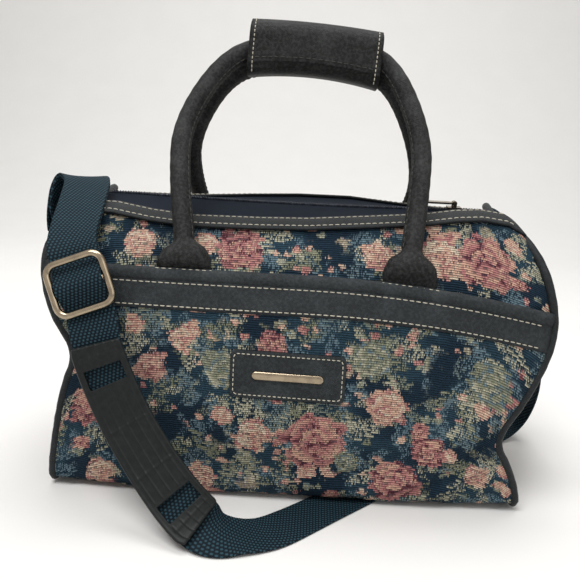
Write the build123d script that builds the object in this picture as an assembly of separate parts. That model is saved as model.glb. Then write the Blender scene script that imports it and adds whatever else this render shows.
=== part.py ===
from build123d import *
import math
import os

# Carpet bag of floral tapestry with leatherette trim, in millimetres.
# The origin is under the middle of the bag, +X to its right end, +Y to its back, +Z up.

# Body
seam_half_length = 203.0
seam_half_depth = 94.0
front_height = 230.0
back_height = 242.0
panel_thickness = 2.0
seam_gap = 1.3
front_crown = 6.0
back_crown = 15.0
end_crown = 8.0
end_cave = 4.0
end_top_arch = 4.0
panel_top_drop = 8.0
panel_foot_height = 7.0

# Piping
piping_radius = 3.0
piping_flat = 0.3
piping_joint = 0.5
seam_foot_half_width = 78.0
strap_hump = 2.5
strap_hump_start = 12.0
strap_hump_foot = 4.0

# Base
base_height = 4.2
base_thickness = 2.4
base_gap = 0.3
base_overhang = 5.0
base_corner = 3.0
board_thickness = 2.5
board_margin = 14.0
board_gap = 0.3
board_corner = 12.0

# Front pocket
pocket_swell = 8.0
pocket_gap = 0.5
pocket_mouth_height = 190.0
pocket_mouth_drop = 24.0
band_width = 28.0
band_thickness = 1.6
band_gap = 0.9
binding_radius = 2.6
binding_gap = 1.3

# Label patch
patch_width = 87.0
patch_height = 35.0
patch_thickness = 1.6
patch_centre_height = 110.0
patch_corner = 5.0
patch_seat = 0.4

# Zipper along the top
zip_height = 238.0
zip_tilt = 6.0
tape_half_width = 22.4
tape_thickness = 0.8
coil_radius = 1.2
coil_offset = 1.1
coil_gap = 0.3
facing_half_opening = 21.0
facing_thickness = 2.0
facing_seat = 0.8

# Zipper slider and pull
slider_rest_x = 138.0
slider_length = 12.0
slider_width = 9.0
slider_plate = 1.6
slider_gap = 0.3
slider_flange = 1.3
bail_height = 3.2
bail_post = 1.4
bail_length = 3.0
bail_radius = 0.9
pull_length = 23.0
pull_width = 7.0
pull_thickness = 1.6
pull_neck = 4.0
pull_eye_radius = 2.1
pull_eye_gap = 0.3
pull_side_gap = 0.4

# Rolled handles and their grip
handle_radius = 9.0
handle_wall = 1.6
core_gap = 0.3
handle_half_span = 97.0
handle_foot_height = 190.0
front_handle_height = 369.0
rear_handle_height = 356.5
handle_top_offset = 7.5
foot_width = 42.0
foot_thickness = 5.0
foot_tuck = 16.0
foot_instep_thickness = 6.5
foot_instep_rise = 1.5
foot_seat = 0.6
wrap_length = 110.0
wrap_depth = 40.0
wrap_height = 48.0
wrap_wall = 2.5
wrap_corner = 13.0
wrap_centre_x = 8.0
wrap_centre_height = 360.5
wrap_slope = 1.4

# Rings and tabs at the two ends
ring_wire = 1.8
ring_inner_width = 42.0
ring_drop = 20.0
ring_corner = 4.0
left_ring_angle = 42.0
right_ring_angle = 145.0
tab_width = 36.0
tab_length = 26.0
tab_thickness = 3.0
tab_eye_gap = 0.3
tab_eye_wall = 1.4
tab_middle_height = 172.0
tab_seat = 0.5

# Shoulder strap, adjuster and pad
strap_width = 38.0
strap_thickness = 1.8
strap_layer_gap = 2.8
turn_radius = 4.5
turn_steps = 6
adjuster_length = 30.0
adjuster_width = 50.0
adjuster_wire = 2.1
adjuster_bar = 1.5
adjuster_corner = 7.0
pad_width = 44.0
pad_thickness = 4.5
pad_lift = 4.2
pad_window_width = 29.0
pad_window_length = 12.0
pad_keeper_length = 9.0
pad_keeper_thickness = 1.6
pad_keeper_gap = 0.8

# End seams as shares of height, half depth and half length, from the foot to the top
right_seam_shares = [
    (0.050, 0.970, 0.950),
    (0.175, 1.000, 0.897),
    (0.278, 1.000, 0.823),
    (0.435, 1.000, 0.931),
    (0.652, 0.978, 1.020),
    (0.835, 0.893, 0.985),
    (0.943, 0.702, 0.931),
    (1.000, 0.489, 0.872),
]
left_seam_shares = [
    (0.050, 0.970, 0.950),
    (0.217, 1.000, 0.921),
    (0.391, 1.000, 0.882),
    (0.517, 1.000, 0.823),
    (0.652, 0.978, 0.931),
    (0.835, 0.893, 0.975),
    (0.943, 0.702, 0.931),
    (1.000, 0.489, 0.872),
]
seam_foot_share = 0.941
seam_top_rise_share = 1.022
seam_top_length_share = 0.848

# Even rows up a panel and columns across it
panel_rows = 40
panel_columns = 8
pocket_rows = 34
band_rows = 15
patch_rows = 12
panel_row_shares = [row / panel_rows for row in range(panel_rows + 1)]
panel_column_shares = [2 * column / panel_columns - 1 for column in range(panel_columns + 1)]
crown_row_share = 0.9
pocket_swell_row_share = 0.5
pocket_length_share = 0.994
mouth_drop_power = 2.2
binding_column_shares = [-0.97, -0.75, -0.4, 0.0, 0.4, 0.6, 0.8, 0.97]

# Handle arch as shares of its half span and of its rise above the foot
handle_arch_shares = [
    (-0.880, 0.090),
    (-0.985, 0.360),
    (-1.020, 0.620),
    (-0.680, 0.940),
    (-0.250, 1.000),
    (0.410, 1.000),
    (0.770, 0.930),
    (1.030, 0.600),
    (0.995, 0.340),
    (0.930, 0.090),
]
handle_lean_share = 0.92
foot_column_share = 0.46

# An arc takes this share of the shorter of its two runs
fillet_share = 0.45
seam_samples = 400

# Strap route from the left ring to the right one: points of its middle line and its width directions
adjuster_centre = (-159.0, -113.0, 178.0)
adjuster_across = (0.93, 0.05, 0.36)
adjuster_out = (-0.025, -0.975, 0.2)
strap_route = [
    ((-217.8, 1.5, 219.0), (0.15, 0.99, 0.0)),
    ((-213.5, 8.0, 232.5), (0.50, 0.86, -0.05)),
    ((-205.0, 12.0, 245.0), (0.80, 0.59, -0.1)),
    ((-194.0, 4.0, 252.0), (0.95, 0.30, 0.0)),
    ((-183.0, -16.0, 250.5), (0.985, 0.17, 0.0)),
    ((-178.0, -42.0, 240.0), (0.98, 0.17, 0.1)),
    ((-174.0, -70.0, 226.0), (0.97, 0.17, 0.15)),
    ((-171.5, -96.2, 208.6), (0.95, 0.15, 0.27)),
    ((-163.6, -106.2, 189.0), (0.93, 0.05, 0.36)),
    ((-159.1, -116.1, 178.6), (0.93, 0.05, 0.36)),
    ((-154.2, -111.7, 165.5), (0.93, 0.05, 0.36)),
    ((-149.0, -115.9, 152.6), (0.93, 0.05, 0.36)),
    ((-145.0, -119.5, 135.0), (0.93, 0.05, 0.37)),
    ((-136.0, -123.0, 112.0), (0.92, 0.08, 0.39)),
    ((-121.0, -129.0, 83.0), (0.9, 0.1, 0.43)),
    ((-107.0, -136.0, 64.0), (0.91, 0.1, 0.41)),
    ((-92.0, -144.0, 46.0), (0.92, 0.11, 0.39)),
    ((-74.0, -153.5, 28.0), (0.94, 0.14, 0.3)),
    ((-57.0, -161.5, 14.5), (0.95, 0.25, 0.15)),
    ((-44.0, -163.0, 9.8), (0.1, 0.88, 0.4)),
    ((-31.0, -157.5, 6.2), (-0.32, 0.93, 0.16)),
    ((-19.0, -153.0, 3.8), (-0.42, 0.9, 0.1)),
    ((-6.0, -146.0, 2.6), (-0.62, 0.78, 0.07)),
    ((14.0, -126.0, 1.4), (-0.70, 0.71, 0.02)),
    ((40.0, -100.0, 1.0), (-0.69, 0.72, 0.0)),
    ((75.0, -66.0, 1.0), (-0.69, 0.72, 0.0)),
    ((112.0, -32.0, 1.0), (-0.67, 0.74, 0.0)),
    ((150.0, 2.0, 1.0), (-0.67, 0.74, 0.0)),
    ((186.0, 35.0, 1.0), (-0.66, 0.75, 0.0)),
    ((206.0, 53.0, 1.1), (-0.65, 0.76, 0.0)),
    ((224.0, 65.0, 7.0), (-0.58, 0.81, 0.05)),
    ((237.0, 69.0, 20.0), (-0.45, 0.88, 0.1)),
    ((243.0, 63.0, 39.0), (-0.3, 0.94, 0.15)),
    ((243.0, 46.0, 66.0), (-0.15, 0.97, 0.2)),
    ((237.0, 27.0, 96.0), (-0.05, 0.98, 0.2)),
    ((230.0, 11.0, 125.0), (0.0, 0.99, 0.1)),
    ((223.5, 2.0, 148.0), (0.0, 1.0, 0.0)),
]
doubled_points = 9
pad_first_point = 12
pad_last_point = 18


def fillet_path(points):
    """Straight runs joined by arcs as large as the runs allow."""
    vectors = [Vector(*p) for p in points]
    radii = []
    for before, here, after in zip(vectors, vectors[1:], vectors[2:]):
        half_turn = math.radians((here - before).get_angle(after - here)) / 2
        shorter = min((here - before).length, (after - here).length)
        radii.append(fillet_share * shorter / math.tan(half_turn))
    return FilletPolyline(*vectors, radius=radii)


def tube(path, radius):
    """Round rod along a path."""
    start = Plane(origin=path @ 0, z_dir=path % 0)
    return sweep(start * Circle(radius), path=path)


def sheet(outer_rows, inner_rows):
    """Closed skin between two grids of points, with ruled edges."""
    outer = Face.make_surface_from_array_of_points(outer_rows)
    inner = Face.make_surface_from_array_of_points(inner_rows)
    edges = zip(outer.edges(), inner.edges())
    sides = [Face.make_surface_from_curves(a, b) for a, b in edges]
    return Solid(Shell([outer, inner, *sides])).fix()


# End seams


def seam_run(shares, side, facing, height):
    """Corner points of one end seam from its foot to its top."""
    half_length = side * seam_half_length
    half_depth = facing * seam_half_depth
    return [(x * half_length, y * half_depth, z * height) for z, y, x in shares]


def seam_loop(shares, side, hump):
    """Path of the piping round one end, with its butt joint under the bag and a hump where the strap passes."""
    foot_x = side * seam_half_length * seam_foot_share
    foot_z = piping_radius - piping_flat
    top_x = side * seam_half_length * seam_top_length_share
    top_z = (front_height + back_height) / 2 * seam_top_rise_share
    points = [(foot_x, -piping_joint / 2, foot_z), (foot_x, -seam_foot_half_width, foot_z)]
    points += seam_run(shares, side, -1, front_height)
    points.append((top_x, 0, top_z))
    points += reversed(seam_run(shares, side, 1, back_height))
    points.append((foot_x, seam_foot_half_width, foot_z + hump))
    if hump:
        points += [(foot_x, strap_hump_start, foot_z + hump), (foot_x, strap_hump_foot, foot_z)]
    points.append((foot_x, piping_joint / 2, foot_z))
    return fillet_path(points)


def seam_sides(loop):
    """Points and directions of a seam by height, for its front run (-1) and its back run (1)."""
    shares = [i / seam_samples for i in range(seam_samples + 1)]
    samples = [(loop @ share, loop % share) for share in shares]
    middle = seam_samples // 2
    return {-1: samples[: middle + 1], 1: samples[: middle - 1 : -1]}


def seam_at(sides, facing, height):
    """Point and direction of a seam run at one height."""
    run = sides[facing]
    for (low, low_way), (high, high_way) in zip(run, run[1:]):
        if low.Z <= height <= high.Z:
            share = (height - low.Z) / (high.Z - low.Z)
            return low + (high - low) * share, low_way + (high_way - low_way) * share
    return run[-1]


seam_humps = {-1: 0.0, 1: strap_hump}
right_loop = seam_loop(right_seam_shares, 1, seam_humps[1])
left_loop = seam_loop(left_seam_shares, -1, seam_humps[-1])
right_sides = seam_sides(right_loop)
left_sides = seam_sides(left_loop)


def piping(loop):
    """Piping with a small flat where it rests."""
    size = 4 * seam_half_length
    keep = Box(size, size, size, align=(Align.CENTER, Align.CENTER, Align.MIN))
    return tube(loop, piping_radius) & keep


def edge_clearance(along):
    """Distance from a seam's middle line to a panel edge, where the seam runs partly towards the panel."""
    return (piping_radius + seam_gap) / math.sqrt(1 - along**2)


# Tapestry panels


def panel_top(facing):
    """Height of a panel's top edge."""
    return (front_height if facing < 0 else back_height) - panel_top_drop


def crown_share(row, column):
    """How far a panel swells: nothing at its seams and most in its middle."""
    if row >= crown_row_share:
        return 0.0
    return math.sin(math.pi * row / crown_row_share) * (1 - column**2)


def panel_point(height, column, facing, swell, proud):
    """Point on a panel that swells out level, proud of its outer face square to the panel's slope."""
    left, left_way = seam_at(left_sides, facing, height)
    right, right_way = seam_at(right_sides, facing, height)
    share = (column + 1) / 2
    x_left = left.X + edge_clearance(left_way.X)
    x_right = right.X - edge_clearance(right_way.X)
    row = (height - panel_foot_height) / (panel_top(facing) - panel_foot_height)
    lean = math.atan2(abs(right_way.Y), abs(right_way.Z)) if row > crown_row_share / 2 else 0
    crown = (front_crown if facing < 0 else back_crown) * crown_share(row, column)
    y = left.Y * (1 - share) + right.Y * share + facing * (crown + swell + proud / math.cos(lean))
    return Vector(x_left * (1 - share) + x_right * share, y, height)


def panel_grid(facing, proud):
    """Rows of points over a whole panel."""
    rise = panel_top(facing) - panel_foot_height
    heights = [panel_foot_height + rise * row for row in panel_row_shares]
    return [[panel_point(z, c, facing, 0, proud) for c in panel_column_shares] for z in heights]


def body_panel(facing):
    """Front or back panel."""
    return sheet(panel_grid(facing, 0), panel_grid(facing, -panel_thickness))


def end_point(sides, side, row, column, inset):
    """Point on an end panel between the front and back runs of its seam."""
    foot = 2 * piping_radius + seam_humps[side] + seam_gap
    front, front_way = seam_at(sides, -1, foot + row * (panel_top(-1) - foot))
    back, back_way = seam_at(sides, 1, foot + row * (panel_top(1) - foot))
    front += Vector(0, edge_clearance(front_way.Y), 0)
    back -= Vector(0, edge_clearance(back_way.Y), 0)
    wave = math.sin(math.pi * row)
    middle = 1 - column**2
    swell = ((end_crown + end_cave) * wave**2 - end_cave * wave) * middle
    point = front * ((1 - column) / 2) + back * ((1 + column) / 2)
    return point + Vector(side * (swell - inset), 0, end_top_arch * middle * row**6)


def end_panel(sides, side):
    """End panel with its cave-in."""
    grids = []
    for inset in (0, panel_thickness):
        grid = [[end_point(sides, side, r, c, inset) for c in panel_column_shares] for r in panel_row_shares]
        grids.append(grid)
    return sheet(*grids)


def base_plate(margin, corner, thickness, height):
    """Flat plate inside the four bottom seams."""
    half_x = seam_half_length * seam_foot_share - piping_radius - base_gap - margin
    half_y = seam_foot_half_width + base_overhang - margin
    return Pos(0, 0, height) * extrude(RectangleRounded(2 * half_x, 2 * half_y, corner), thickness)


board_height = base_height + base_thickness + board_gap
parts = {
    "front_panel": body_panel(-1),
    "back_panel": body_panel(1),
    "left_end_panel": end_panel(left_sides, -1),
    "right_end_panel": end_panel(right_sides, 1),
    "left_piping": piping(left_loop),
    "right_piping": piping(right_loop),
    "base_panel": base_plate(0, base_corner, base_thickness, base_height),
    "base_board": base_plate(board_margin, board_corner, board_thickness, board_height),
}


# Front pocket


def mouth_height(x):
    """Height of the pocket's mouth, which sags towards the right end."""
    return pocket_mouth_height - pocket_mouth_drop * max(0.0, x / seam_half_length) ** mouth_drop_power


def pocket_point(height, column, proud):
    """Point on the pocket, proud of its inner face."""
    rise = (height - panel_foot_height) / (pocket_mouth_height - panel_foot_height)
    swell = math.sin(math.pi / 2 * min(1.0, rise / pocket_swell_row_share))
    gap = pocket_gap + pocket_swell * swell * (1 - column**4)
    return panel_point(height, column * pocket_length_share, -1, gap, proud)


def pocket_sheet(low, high, rows, inner, thickness):
    """Skin that follows the pocket between two heights."""
    heights = [low + (high - low) * row / rows for row in range(rows + 1)]
    grids = []
    for proud in (inner + thickness, inner):
        grids.append([[pocket_point(z, c, proud) for c in panel_column_shares] for z in heights])
    return sheet(*grids)


def below_mouth(upper, lower):
    """Block across the pocket between two depths below its mouth."""
    places = [2 * seam_half_length * c for c in panel_column_shares]
    top = Spline(*[(x, mouth_height(x) - upper) for x in places])
    bottom = Spline(*[(x, mouth_height(x) - lower) for x in places])
    sides = [Line(top @ 0, bottom @ 0), Line(top @ 1, bottom @ 1)]
    return extrude(Plane.XZ * make_face([top, bottom, *sides]), 2 * seam_half_depth)


hem_depth = 2 * binding_radius + binding_gap


def pocket_panel():
    """Tapestry pocket over the whole front."""
    panel = pocket_sheet(panel_foot_height, pocket_mouth_height, pocket_rows, 0, panel_thickness)
    return panel & below_mouth(hem_depth, 2 * pocket_mouth_height)


def pocket_band():
    """Leatherette band along the mouth."""
    low = pocket_mouth_height - pocket_mouth_drop - 2 * band_width
    band = pocket_sheet(low, pocket_mouth_height, band_rows, panel_thickness + band_gap, band_thickness)
    return band & below_mouth(hem_depth, hem_depth + band_width)


def pocket_binding():
    """Rolled edge over the tops of the pocket and its band."""
    middle = (panel_thickness + band_gap + band_thickness) / 2
    points = []
    for column in binding_column_shares:
        height = mouth_height(column * seam_half_length) - binding_radius
        points.append(pocket_point(height, column, middle))
    return tube(fillet_path(points), binding_radius)


def label_patch():
    """Patch with rounded corners that follows the swell of the pocket."""
    low = patch_centre_height - patch_height
    high = patch_centre_height + patch_height
    skin = pocket_sheet(low, high, patch_rows, panel_thickness + patch_seat, patch_thickness)
    outline = Plane.XZ * Pos(0, patch_centre_height) * RectangleRounded(patch_width, patch_height, patch_corner)
    return skin & extrude(outline, 2 * seam_half_depth)


parts["pocket_panel"] = pocket_panel()
parts["pocket_band"] = pocket_band()
parts["pocket_binding"] = pocket_binding()
parts["label_patch"] = label_patch()


# Zipper, in a frame that leans forward with the top of the bag

zip_frame = Location((0, 0, zip_height), (zip_tilt, 0, 0))
zip_half_length = seam_half_length * seam_top_length_share - piping_radius - seam_gap


def zip_bar(y_from, y_to, z_from, z_to):
    """Straight bar as long as the zipper."""
    bar = Box(2 * zip_half_length, y_to - y_from, z_to - z_from)
    return zip_frame * (Pos(0, (y_from + y_to) / 2, (z_from + z_to) / 2) * bar)


def zipper_tape(facing):
    """One tape, from the coil out to under the facing."""
    inner = coil_offset + coil_radius + coil_gap
    low, high = sorted((facing * inner, facing * tape_half_width))
    return zip_bar(low, high, -tape_thickness / 2, tape_thickness / 2)


def zipper_coil():
    """Closed chain: two coils side by side."""
    coils = Pos(0, coil_offset) * Circle(coil_radius) + Pos(0, -coil_offset) * Circle(coil_radius)
    chain = extrude(Plane.YZ * Rot(0, 0, 90) * coils, zip_half_length, both=True)
    return zip_frame * chain


def zip_facing(facing):
    """Leatherette strip that lies over the panel's top edge and the outer part of the tape."""
    edge = panel_point(panel_top(facing), 0, facing, 0, 0)
    lip = (zip_frame * Pos(0, facing * facing_half_opening, tape_thickness / 2 + facing_seat)).position
    low = Vector(edge.Y, edge.Z + facing_seat)
    high = Vector(lip.Y, lip.Z)
    along = (high - low).normalized()
    out = Vector(along.Y, -along.X) * facing * facing_thickness
    outline = make_face(Polyline(low, high, high + out, low + out, close=True))
    return extrude(Plane.YZ * outline, zip_half_length, both=True)


for side_name, facing in (("front", -1), ("back", 1)):
    parts[f"zipper_tape_{side_name}"] = zipper_tape(facing)
    parts[f"zip_facing_{side_name}"] = zip_facing(facing)
parts["zipper_coil"] = zipper_coil()

slider_frame = zip_frame * Pos(slider_rest_x, 0, coil_radius + slider_gap)
pull_axis_height = slider_plate + bail_height


def zipper_slider():
    """Saddle over the chain, with the bar that carries the pull."""
    plate_align = (Align.CENTER, Align.CENTER, Align.MIN)
    body = Box(slider_length, slider_width, slider_plate, align=plate_align)
    flange_drop = coil_radius - tape_thickness / 2
    flange = Box(slider_length, slider_flange, flange_drop, align=(Align.CENTER, Align.CENTER, Align.MAX))
    post_y = pull_width / 2
    post = Box(bail_length, bail_post, pull_axis_height + bail_radius, align=plate_align)
    for way in (-1, 1):
        body += Pos(0, way * (slider_width - slider_flange) / 2, 0) * flange
        body += Pos(0, way * post_y, 0) * post
    bar = Pos(0, 0, pull_axis_height) * Rot(90, 0, 0) * Cylinder(bail_radius, 2 * post_y)
    return slider_frame * (body + bar)


def zipper_pull():
    """Flat tab with an eye round the slider's bar, lying along the chain."""
    eye_width = pull_width - bail_post - 2 * pull_side_gap
    eye = Rot(90, 0, 0) * Cylinder(pull_eye_radius, eye_width)
    neck = Pos(-pull_neck / 2, 0, 0) * Box(pull_neck, eye_width, pull_thickness)
    tab_end = pull_width / 2
    outline = Pos(-(pull_neck + pull_length) / 2, 0) * SlotOverall(pull_length - pull_neck + tab_end, pull_width)
    tab = extrude(outline, pull_thickness / 2, both=True)
    bore = Rot(90, 0, 0) * Cylinder(bail_radius + pull_eye_gap, pull_width)
    return slider_frame * Pos(0, 0, pull_axis_height) * (eye + neck + tab - bore)


parts["zipper_slider"] = zipper_slider()
parts["zipper_pull"] = zipper_pull()


# Rolled handles


def on_panel(height, facing, thickness):
    """Depth of the middle of a thing that lies on a panel where the handles are sewn."""
    here = panel_point(height, foot_column_share, facing, 0, 0)
    rise = panel_point(height + panel_thickness, foot_column_share, facing, 0, 0) - here
    return here.Y + facing * (foot_seat + thickness / 2) * rise.length / rise.Z


def handle_path(facing, top_height):
    """Middle line of a rolled handle, leaning from its feet to the grip."""
    rise = top_height - handle_foot_height
    first_share = handle_arch_shares[0][1]
    foot_y = on_panel(handle_foot_height + rise * first_share, facing, 2 * handle_radius)
    lean = facing * handle_top_offset - foot_y
    points = []
    for across_share, rise_share in handle_arch_shares:
        x = across_share * handle_half_span
        lean_share = min(1.0, (rise_share - first_share) / (handle_lean_share - first_share))
        points.append((x, foot_y + lean * lean_share, handle_foot_height + rise * rise_share))
    return fillet_path(points)


def foot_section(x, height, facing, thickness):
    """Flat oval section of a handle's foot on the panel."""
    plane = Plane(origin=(x, on_panel(height, facing, thickness), height))
    return plane * Ellipse(foot_width / 2, thickness / 2)


def handle_foot(path, end, facing):
    """Flared foot that flattens from the round handle to the sewn end."""
    way = path % end if end == 0 else -(path % end)
    start = path @ end
    ankle = Plane(origin=start, x_dir=(1, 0, 0), z_dir=way) * Circle(handle_radius)
    instep = foot_section(start.X, handle_foot_height + foot_instep_rise, facing, foot_instep_thickness)
    sole = foot_section(start.X, handle_foot_height - foot_tuck, facing, foot_thickness)
    return loft([ankle, instep, sole])


def handle_cover(facing, top_height):
    """Rolled leatherette with its two feet."""
    path = handle_path(facing, top_height)
    cover = tube(path, handle_radius) - tube(path, handle_radius - handle_wall)
    return cover + handle_foot(path, 0, facing) + handle_foot(path, 1, facing)


def handle_core(facing, top_height):
    """Cord inside the roll."""
    return tube(handle_path(facing, top_height), handle_radius - handle_wall - core_gap)


def handle_wrap():
    """Grip round both handles."""
    outer = RectangleRounded(wrap_depth, wrap_height, wrap_corner)
    inner = RectangleRounded(wrap_depth - 2 * wrap_wall, wrap_height - 2 * wrap_wall, wrap_corner - wrap_wall)
    sleeve = extrude(Plane.YZ * (outer - inner), wrap_length / 2, both=True)
    return Location((wrap_centre_x, 0, wrap_centre_height), (0, wrap_slope, 0)) * sleeve


for handle_name, facing, top_height in (("front", -1, front_handle_height), ("rear", 1, rear_handle_height)):
    parts[f"{handle_name}_handle"] = handle_cover(facing, top_height)
    parts[f"{handle_name}_handle_core"] = handle_core(facing, top_height)
parts["handle_wrap"] = handle_wrap()


# Rings in their tabs


def tab_frame(sides, side):
    """Frame at the middle of a tab on its end panel: X out of the panel, Z up along it."""
    row = (tab_middle_height - panel_foot_height) / (panel_top(-1) - panel_foot_height)
    step = tab_thickness / front_height
    middle = end_point(sides, side, row, 0, 0)
    below = end_point(sides, side, row - step, 0, 0)
    above = end_point(sides, side, row + step, 0, 0)
    slope = math.degrees(math.atan2(side * (above.X - below.X), above.Z - below.Z))
    turn = 0 if side > 0 else 180
    return Location((middle.X + side * tab_seat, 0, middle.Z)) * Rot(0, 0, turn) * Rot(0, slope, 0)


tab_eye_radius = ring_wire + tab_eye_gap + tab_eye_wall


def ring_tab(sides, side):
    """Tab folded round the ring and sewn to the end panel."""
    plate = Pos(tab_thickness / 2, 0) * Rectangle(tab_thickness, tab_length)
    eye = Pos(tab_eye_radius, tab_length / 2) * Circle(tab_eye_radius)
    bore = Pos(tab_eye_radius, tab_length / 2) * Circle(ring_wire + tab_eye_gap)
    profile = Plane.XZ * (plate + eye - bore)
    return tab_frame(sides, side) * extrude(profile, tab_width / 2, both=True)


def ring_frame(sides, side, angle):
    """Frame at the tab's eye, with Z along the ring towards its outer bar."""
    eye = tab_frame(sides, side) * Pos(tab_eye_radius, 0, tab_length / 2)
    return Location(eye.position) * Rot(0, 0, 0 if side > 0 else 180) * Rot(0, angle, 0)


def ring(sides, side, angle):
    """Wire loop, leaning out from its tab by an angle from upright."""
    width = ring_inner_width + 2 * ring_wire
    loop = RectangleRounded(width, ring_drop, ring_corner).face().outer_wire()
    start = Plane(origin=loop @ 0, z_dir=loop % 0)
    wire = Pos(0, ring_drop / 2, 0) * sweep(start * Circle(ring_wire), path=loop)
    upright = Rot(0, 0, 90) * Rot(90, 0, 0)
    return ring_frame(sides, side, angle) * upright * wire


parts["left_ring_tab"] = ring_tab(left_sides, -1)
parts["right_ring_tab"] = ring_tab(right_sides, 1)
parts["left_ring"] = ring(left_sides, -1, left_ring_angle)
parts["right_ring"] = ring(right_sides, 1, right_ring_angle)


# Shoulder strap


def route_plane(route, place):
    """Plane across the strap: X along its width, Y out of its face, Z along its run."""
    point, across = route[place]
    before = Vector(*route[max(place - 1, 0)][0])
    after = Vector(*route[min(place + 1, len(route) - 1)][0])
    run = (after - before).normalized()
    width = Vector(*across)
    width -= run * width.dot(run)
    return Plane(origin=point, x_dir=width, z_dir=run)


def bar_turn(frame, first_angle, last_angle):
    """Half turn of the strap round a ring's outer bar, from its angle to its last, seen along Y."""
    bar = (frame * Pos(0, 0, ring_drop)).position
    points = []
    for step in range(turn_steps + 1):
        angle = math.radians(first_angle + (last_angle - first_angle) * step / turn_steps)
        point = bar + Vector(math.cos(angle), 0, math.sin(angle)) * turn_radius
        points.append((tuple(point), (0.0, 1.0, 0.0)))
    return points


def second_layer(places, way):
    """Second layer of webbing, before or behind the first one at some points of the route."""
    points = []
    for place in places:
        plane = route_plane(strap_route, place)
        points.append((tuple(plane.origin + plane.y_dir * way * strap_layer_gap), strap_route[place][1]))
    return points


def shoulder_strap():
    """Webbing from the adjuster's bar round the left ring, then along the route to the right ring."""
    bar = adjuster_plane.origin - adjuster_plane.z_dir * strap_layer_gap
    route = [(tuple(bar), strap_route[doubled_points][1])]
    route += second_layer(reversed(range(doubled_points)), -1)
    route += bar_turn(left_ring_frame, 0, -180)
    route += strap_route
    route += bar_turn(right_ring_frame, 0, 180)
    route += second_layer((len(strap_route) - 1, len(strap_route) - 2), 1)
    planes = [route_plane(route, place) for place in range(len(route))]
    length = sum((b.origin - a.origin).length for a, b in zip(planes, planes[1:]))
    print(f"strap length {length:.0f} mm")
    return loft([plane * Rectangle(strap_width, strap_thickness) for plane in planes], ruled=True)


def strap_adjuster():
    """Rectangular wire slide with a bar across its middle."""
    loop = RectangleRounded(
        adjuster_width - 2 * adjuster_wire, adjuster_length - 2 * adjuster_wire, adjuster_corner
    ).face().outer_wire()
    start = Plane(origin=loop @ 0, z_dir=loop % 0)
    frame = sweep(start * Circle(adjuster_wire), path=loop)
    bar = Rot(0, 90, 0) * Cylinder(adjuster_bar, adjuster_width - 2 * adjuster_wire)
    return adjuster_plane * (frame + bar)


def shoulder_pad():
    """Moulded pad on the strap, with two windows and a keeper behind each."""
    places = range(pad_first_point, pad_last_point + 1)
    planes = [route_plane(strap_route, place) for place in places]
    pad = loft([plane * Pos(0, pad_lift) * Rectangle(pad_width, pad_thickness) for plane in planes])
    side_wall = (pad_width - strap_width) / 2 - pad_keeper_gap
    keeper_y = -strap_thickness / 2 - pad_keeper_gap - pad_keeper_thickness / 2
    wall_top = pad_lift
    wall_foot = keeper_y - pad_keeper_thickness / 2
    for plane in (planes[1], planes[-2]):
        window = Pos(0, pad_lift, 0) * Box(pad_window_width, 2 * pad_thickness, pad_window_length)
        keeper = Pos(0, keeper_y, 0) * Box(pad_width, pad_keeper_thickness, pad_keeper_length)
        for way in (-1, 1):
            wall = Box(side_wall, wall_top - wall_foot, pad_keeper_length)
            keeper += Pos(way * (pad_width - side_wall) / 2, (wall_top + wall_foot) / 2, 0) * wall
        pad = pad - plane * window + plane * keeper
    return pad


left_ring_frame = ring_frame(left_sides, -1, left_ring_angle)
right_ring_frame = ring_frame(right_sides, 1, right_ring_angle)
adjuster_plane = Plane(origin=adjuster_centre, x_dir=adjuster_across, z_dir=adjuster_out)
parts["shoulder_strap"] = shoulder_strap()
parts["strap_adjuster"] = strap_adjuster()
parts["shoulder_pad"] = shoulder_pad()
os.makedirs("parts", exist_ok=True)
for name, solid in parts.items():
    export_step(solid, f"parts/{name}.step")
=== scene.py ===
import math

import bpy
import numpy as np
from mathutils import Matrix, Vector
from mathutils.bvhtree import BVHTree


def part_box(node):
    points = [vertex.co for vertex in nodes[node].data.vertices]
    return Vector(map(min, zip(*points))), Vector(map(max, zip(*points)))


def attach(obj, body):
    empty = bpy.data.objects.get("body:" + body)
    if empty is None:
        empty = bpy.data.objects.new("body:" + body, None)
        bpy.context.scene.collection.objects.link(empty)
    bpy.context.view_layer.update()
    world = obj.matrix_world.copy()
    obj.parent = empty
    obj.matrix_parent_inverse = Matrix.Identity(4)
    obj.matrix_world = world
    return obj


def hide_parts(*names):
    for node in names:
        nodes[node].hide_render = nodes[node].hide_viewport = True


# Carpet bag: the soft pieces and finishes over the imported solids, in metres.

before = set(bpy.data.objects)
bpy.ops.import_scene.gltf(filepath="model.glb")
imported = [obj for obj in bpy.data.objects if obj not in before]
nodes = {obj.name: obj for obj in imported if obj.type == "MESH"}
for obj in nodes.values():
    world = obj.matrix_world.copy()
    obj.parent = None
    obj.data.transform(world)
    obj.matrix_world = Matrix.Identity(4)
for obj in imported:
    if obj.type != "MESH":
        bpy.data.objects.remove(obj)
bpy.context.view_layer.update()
scene = bpy.context.scene

# Camera of the photograph
camera_place = Vector((0.0077, -0.5844, 0.2869))
camera_yaw = math.radians(1.1)
camera_pitch = math.radians(-12.49)
camera_roll = math.radians(2.86)
camera_view = math.radians(48.0)

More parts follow.
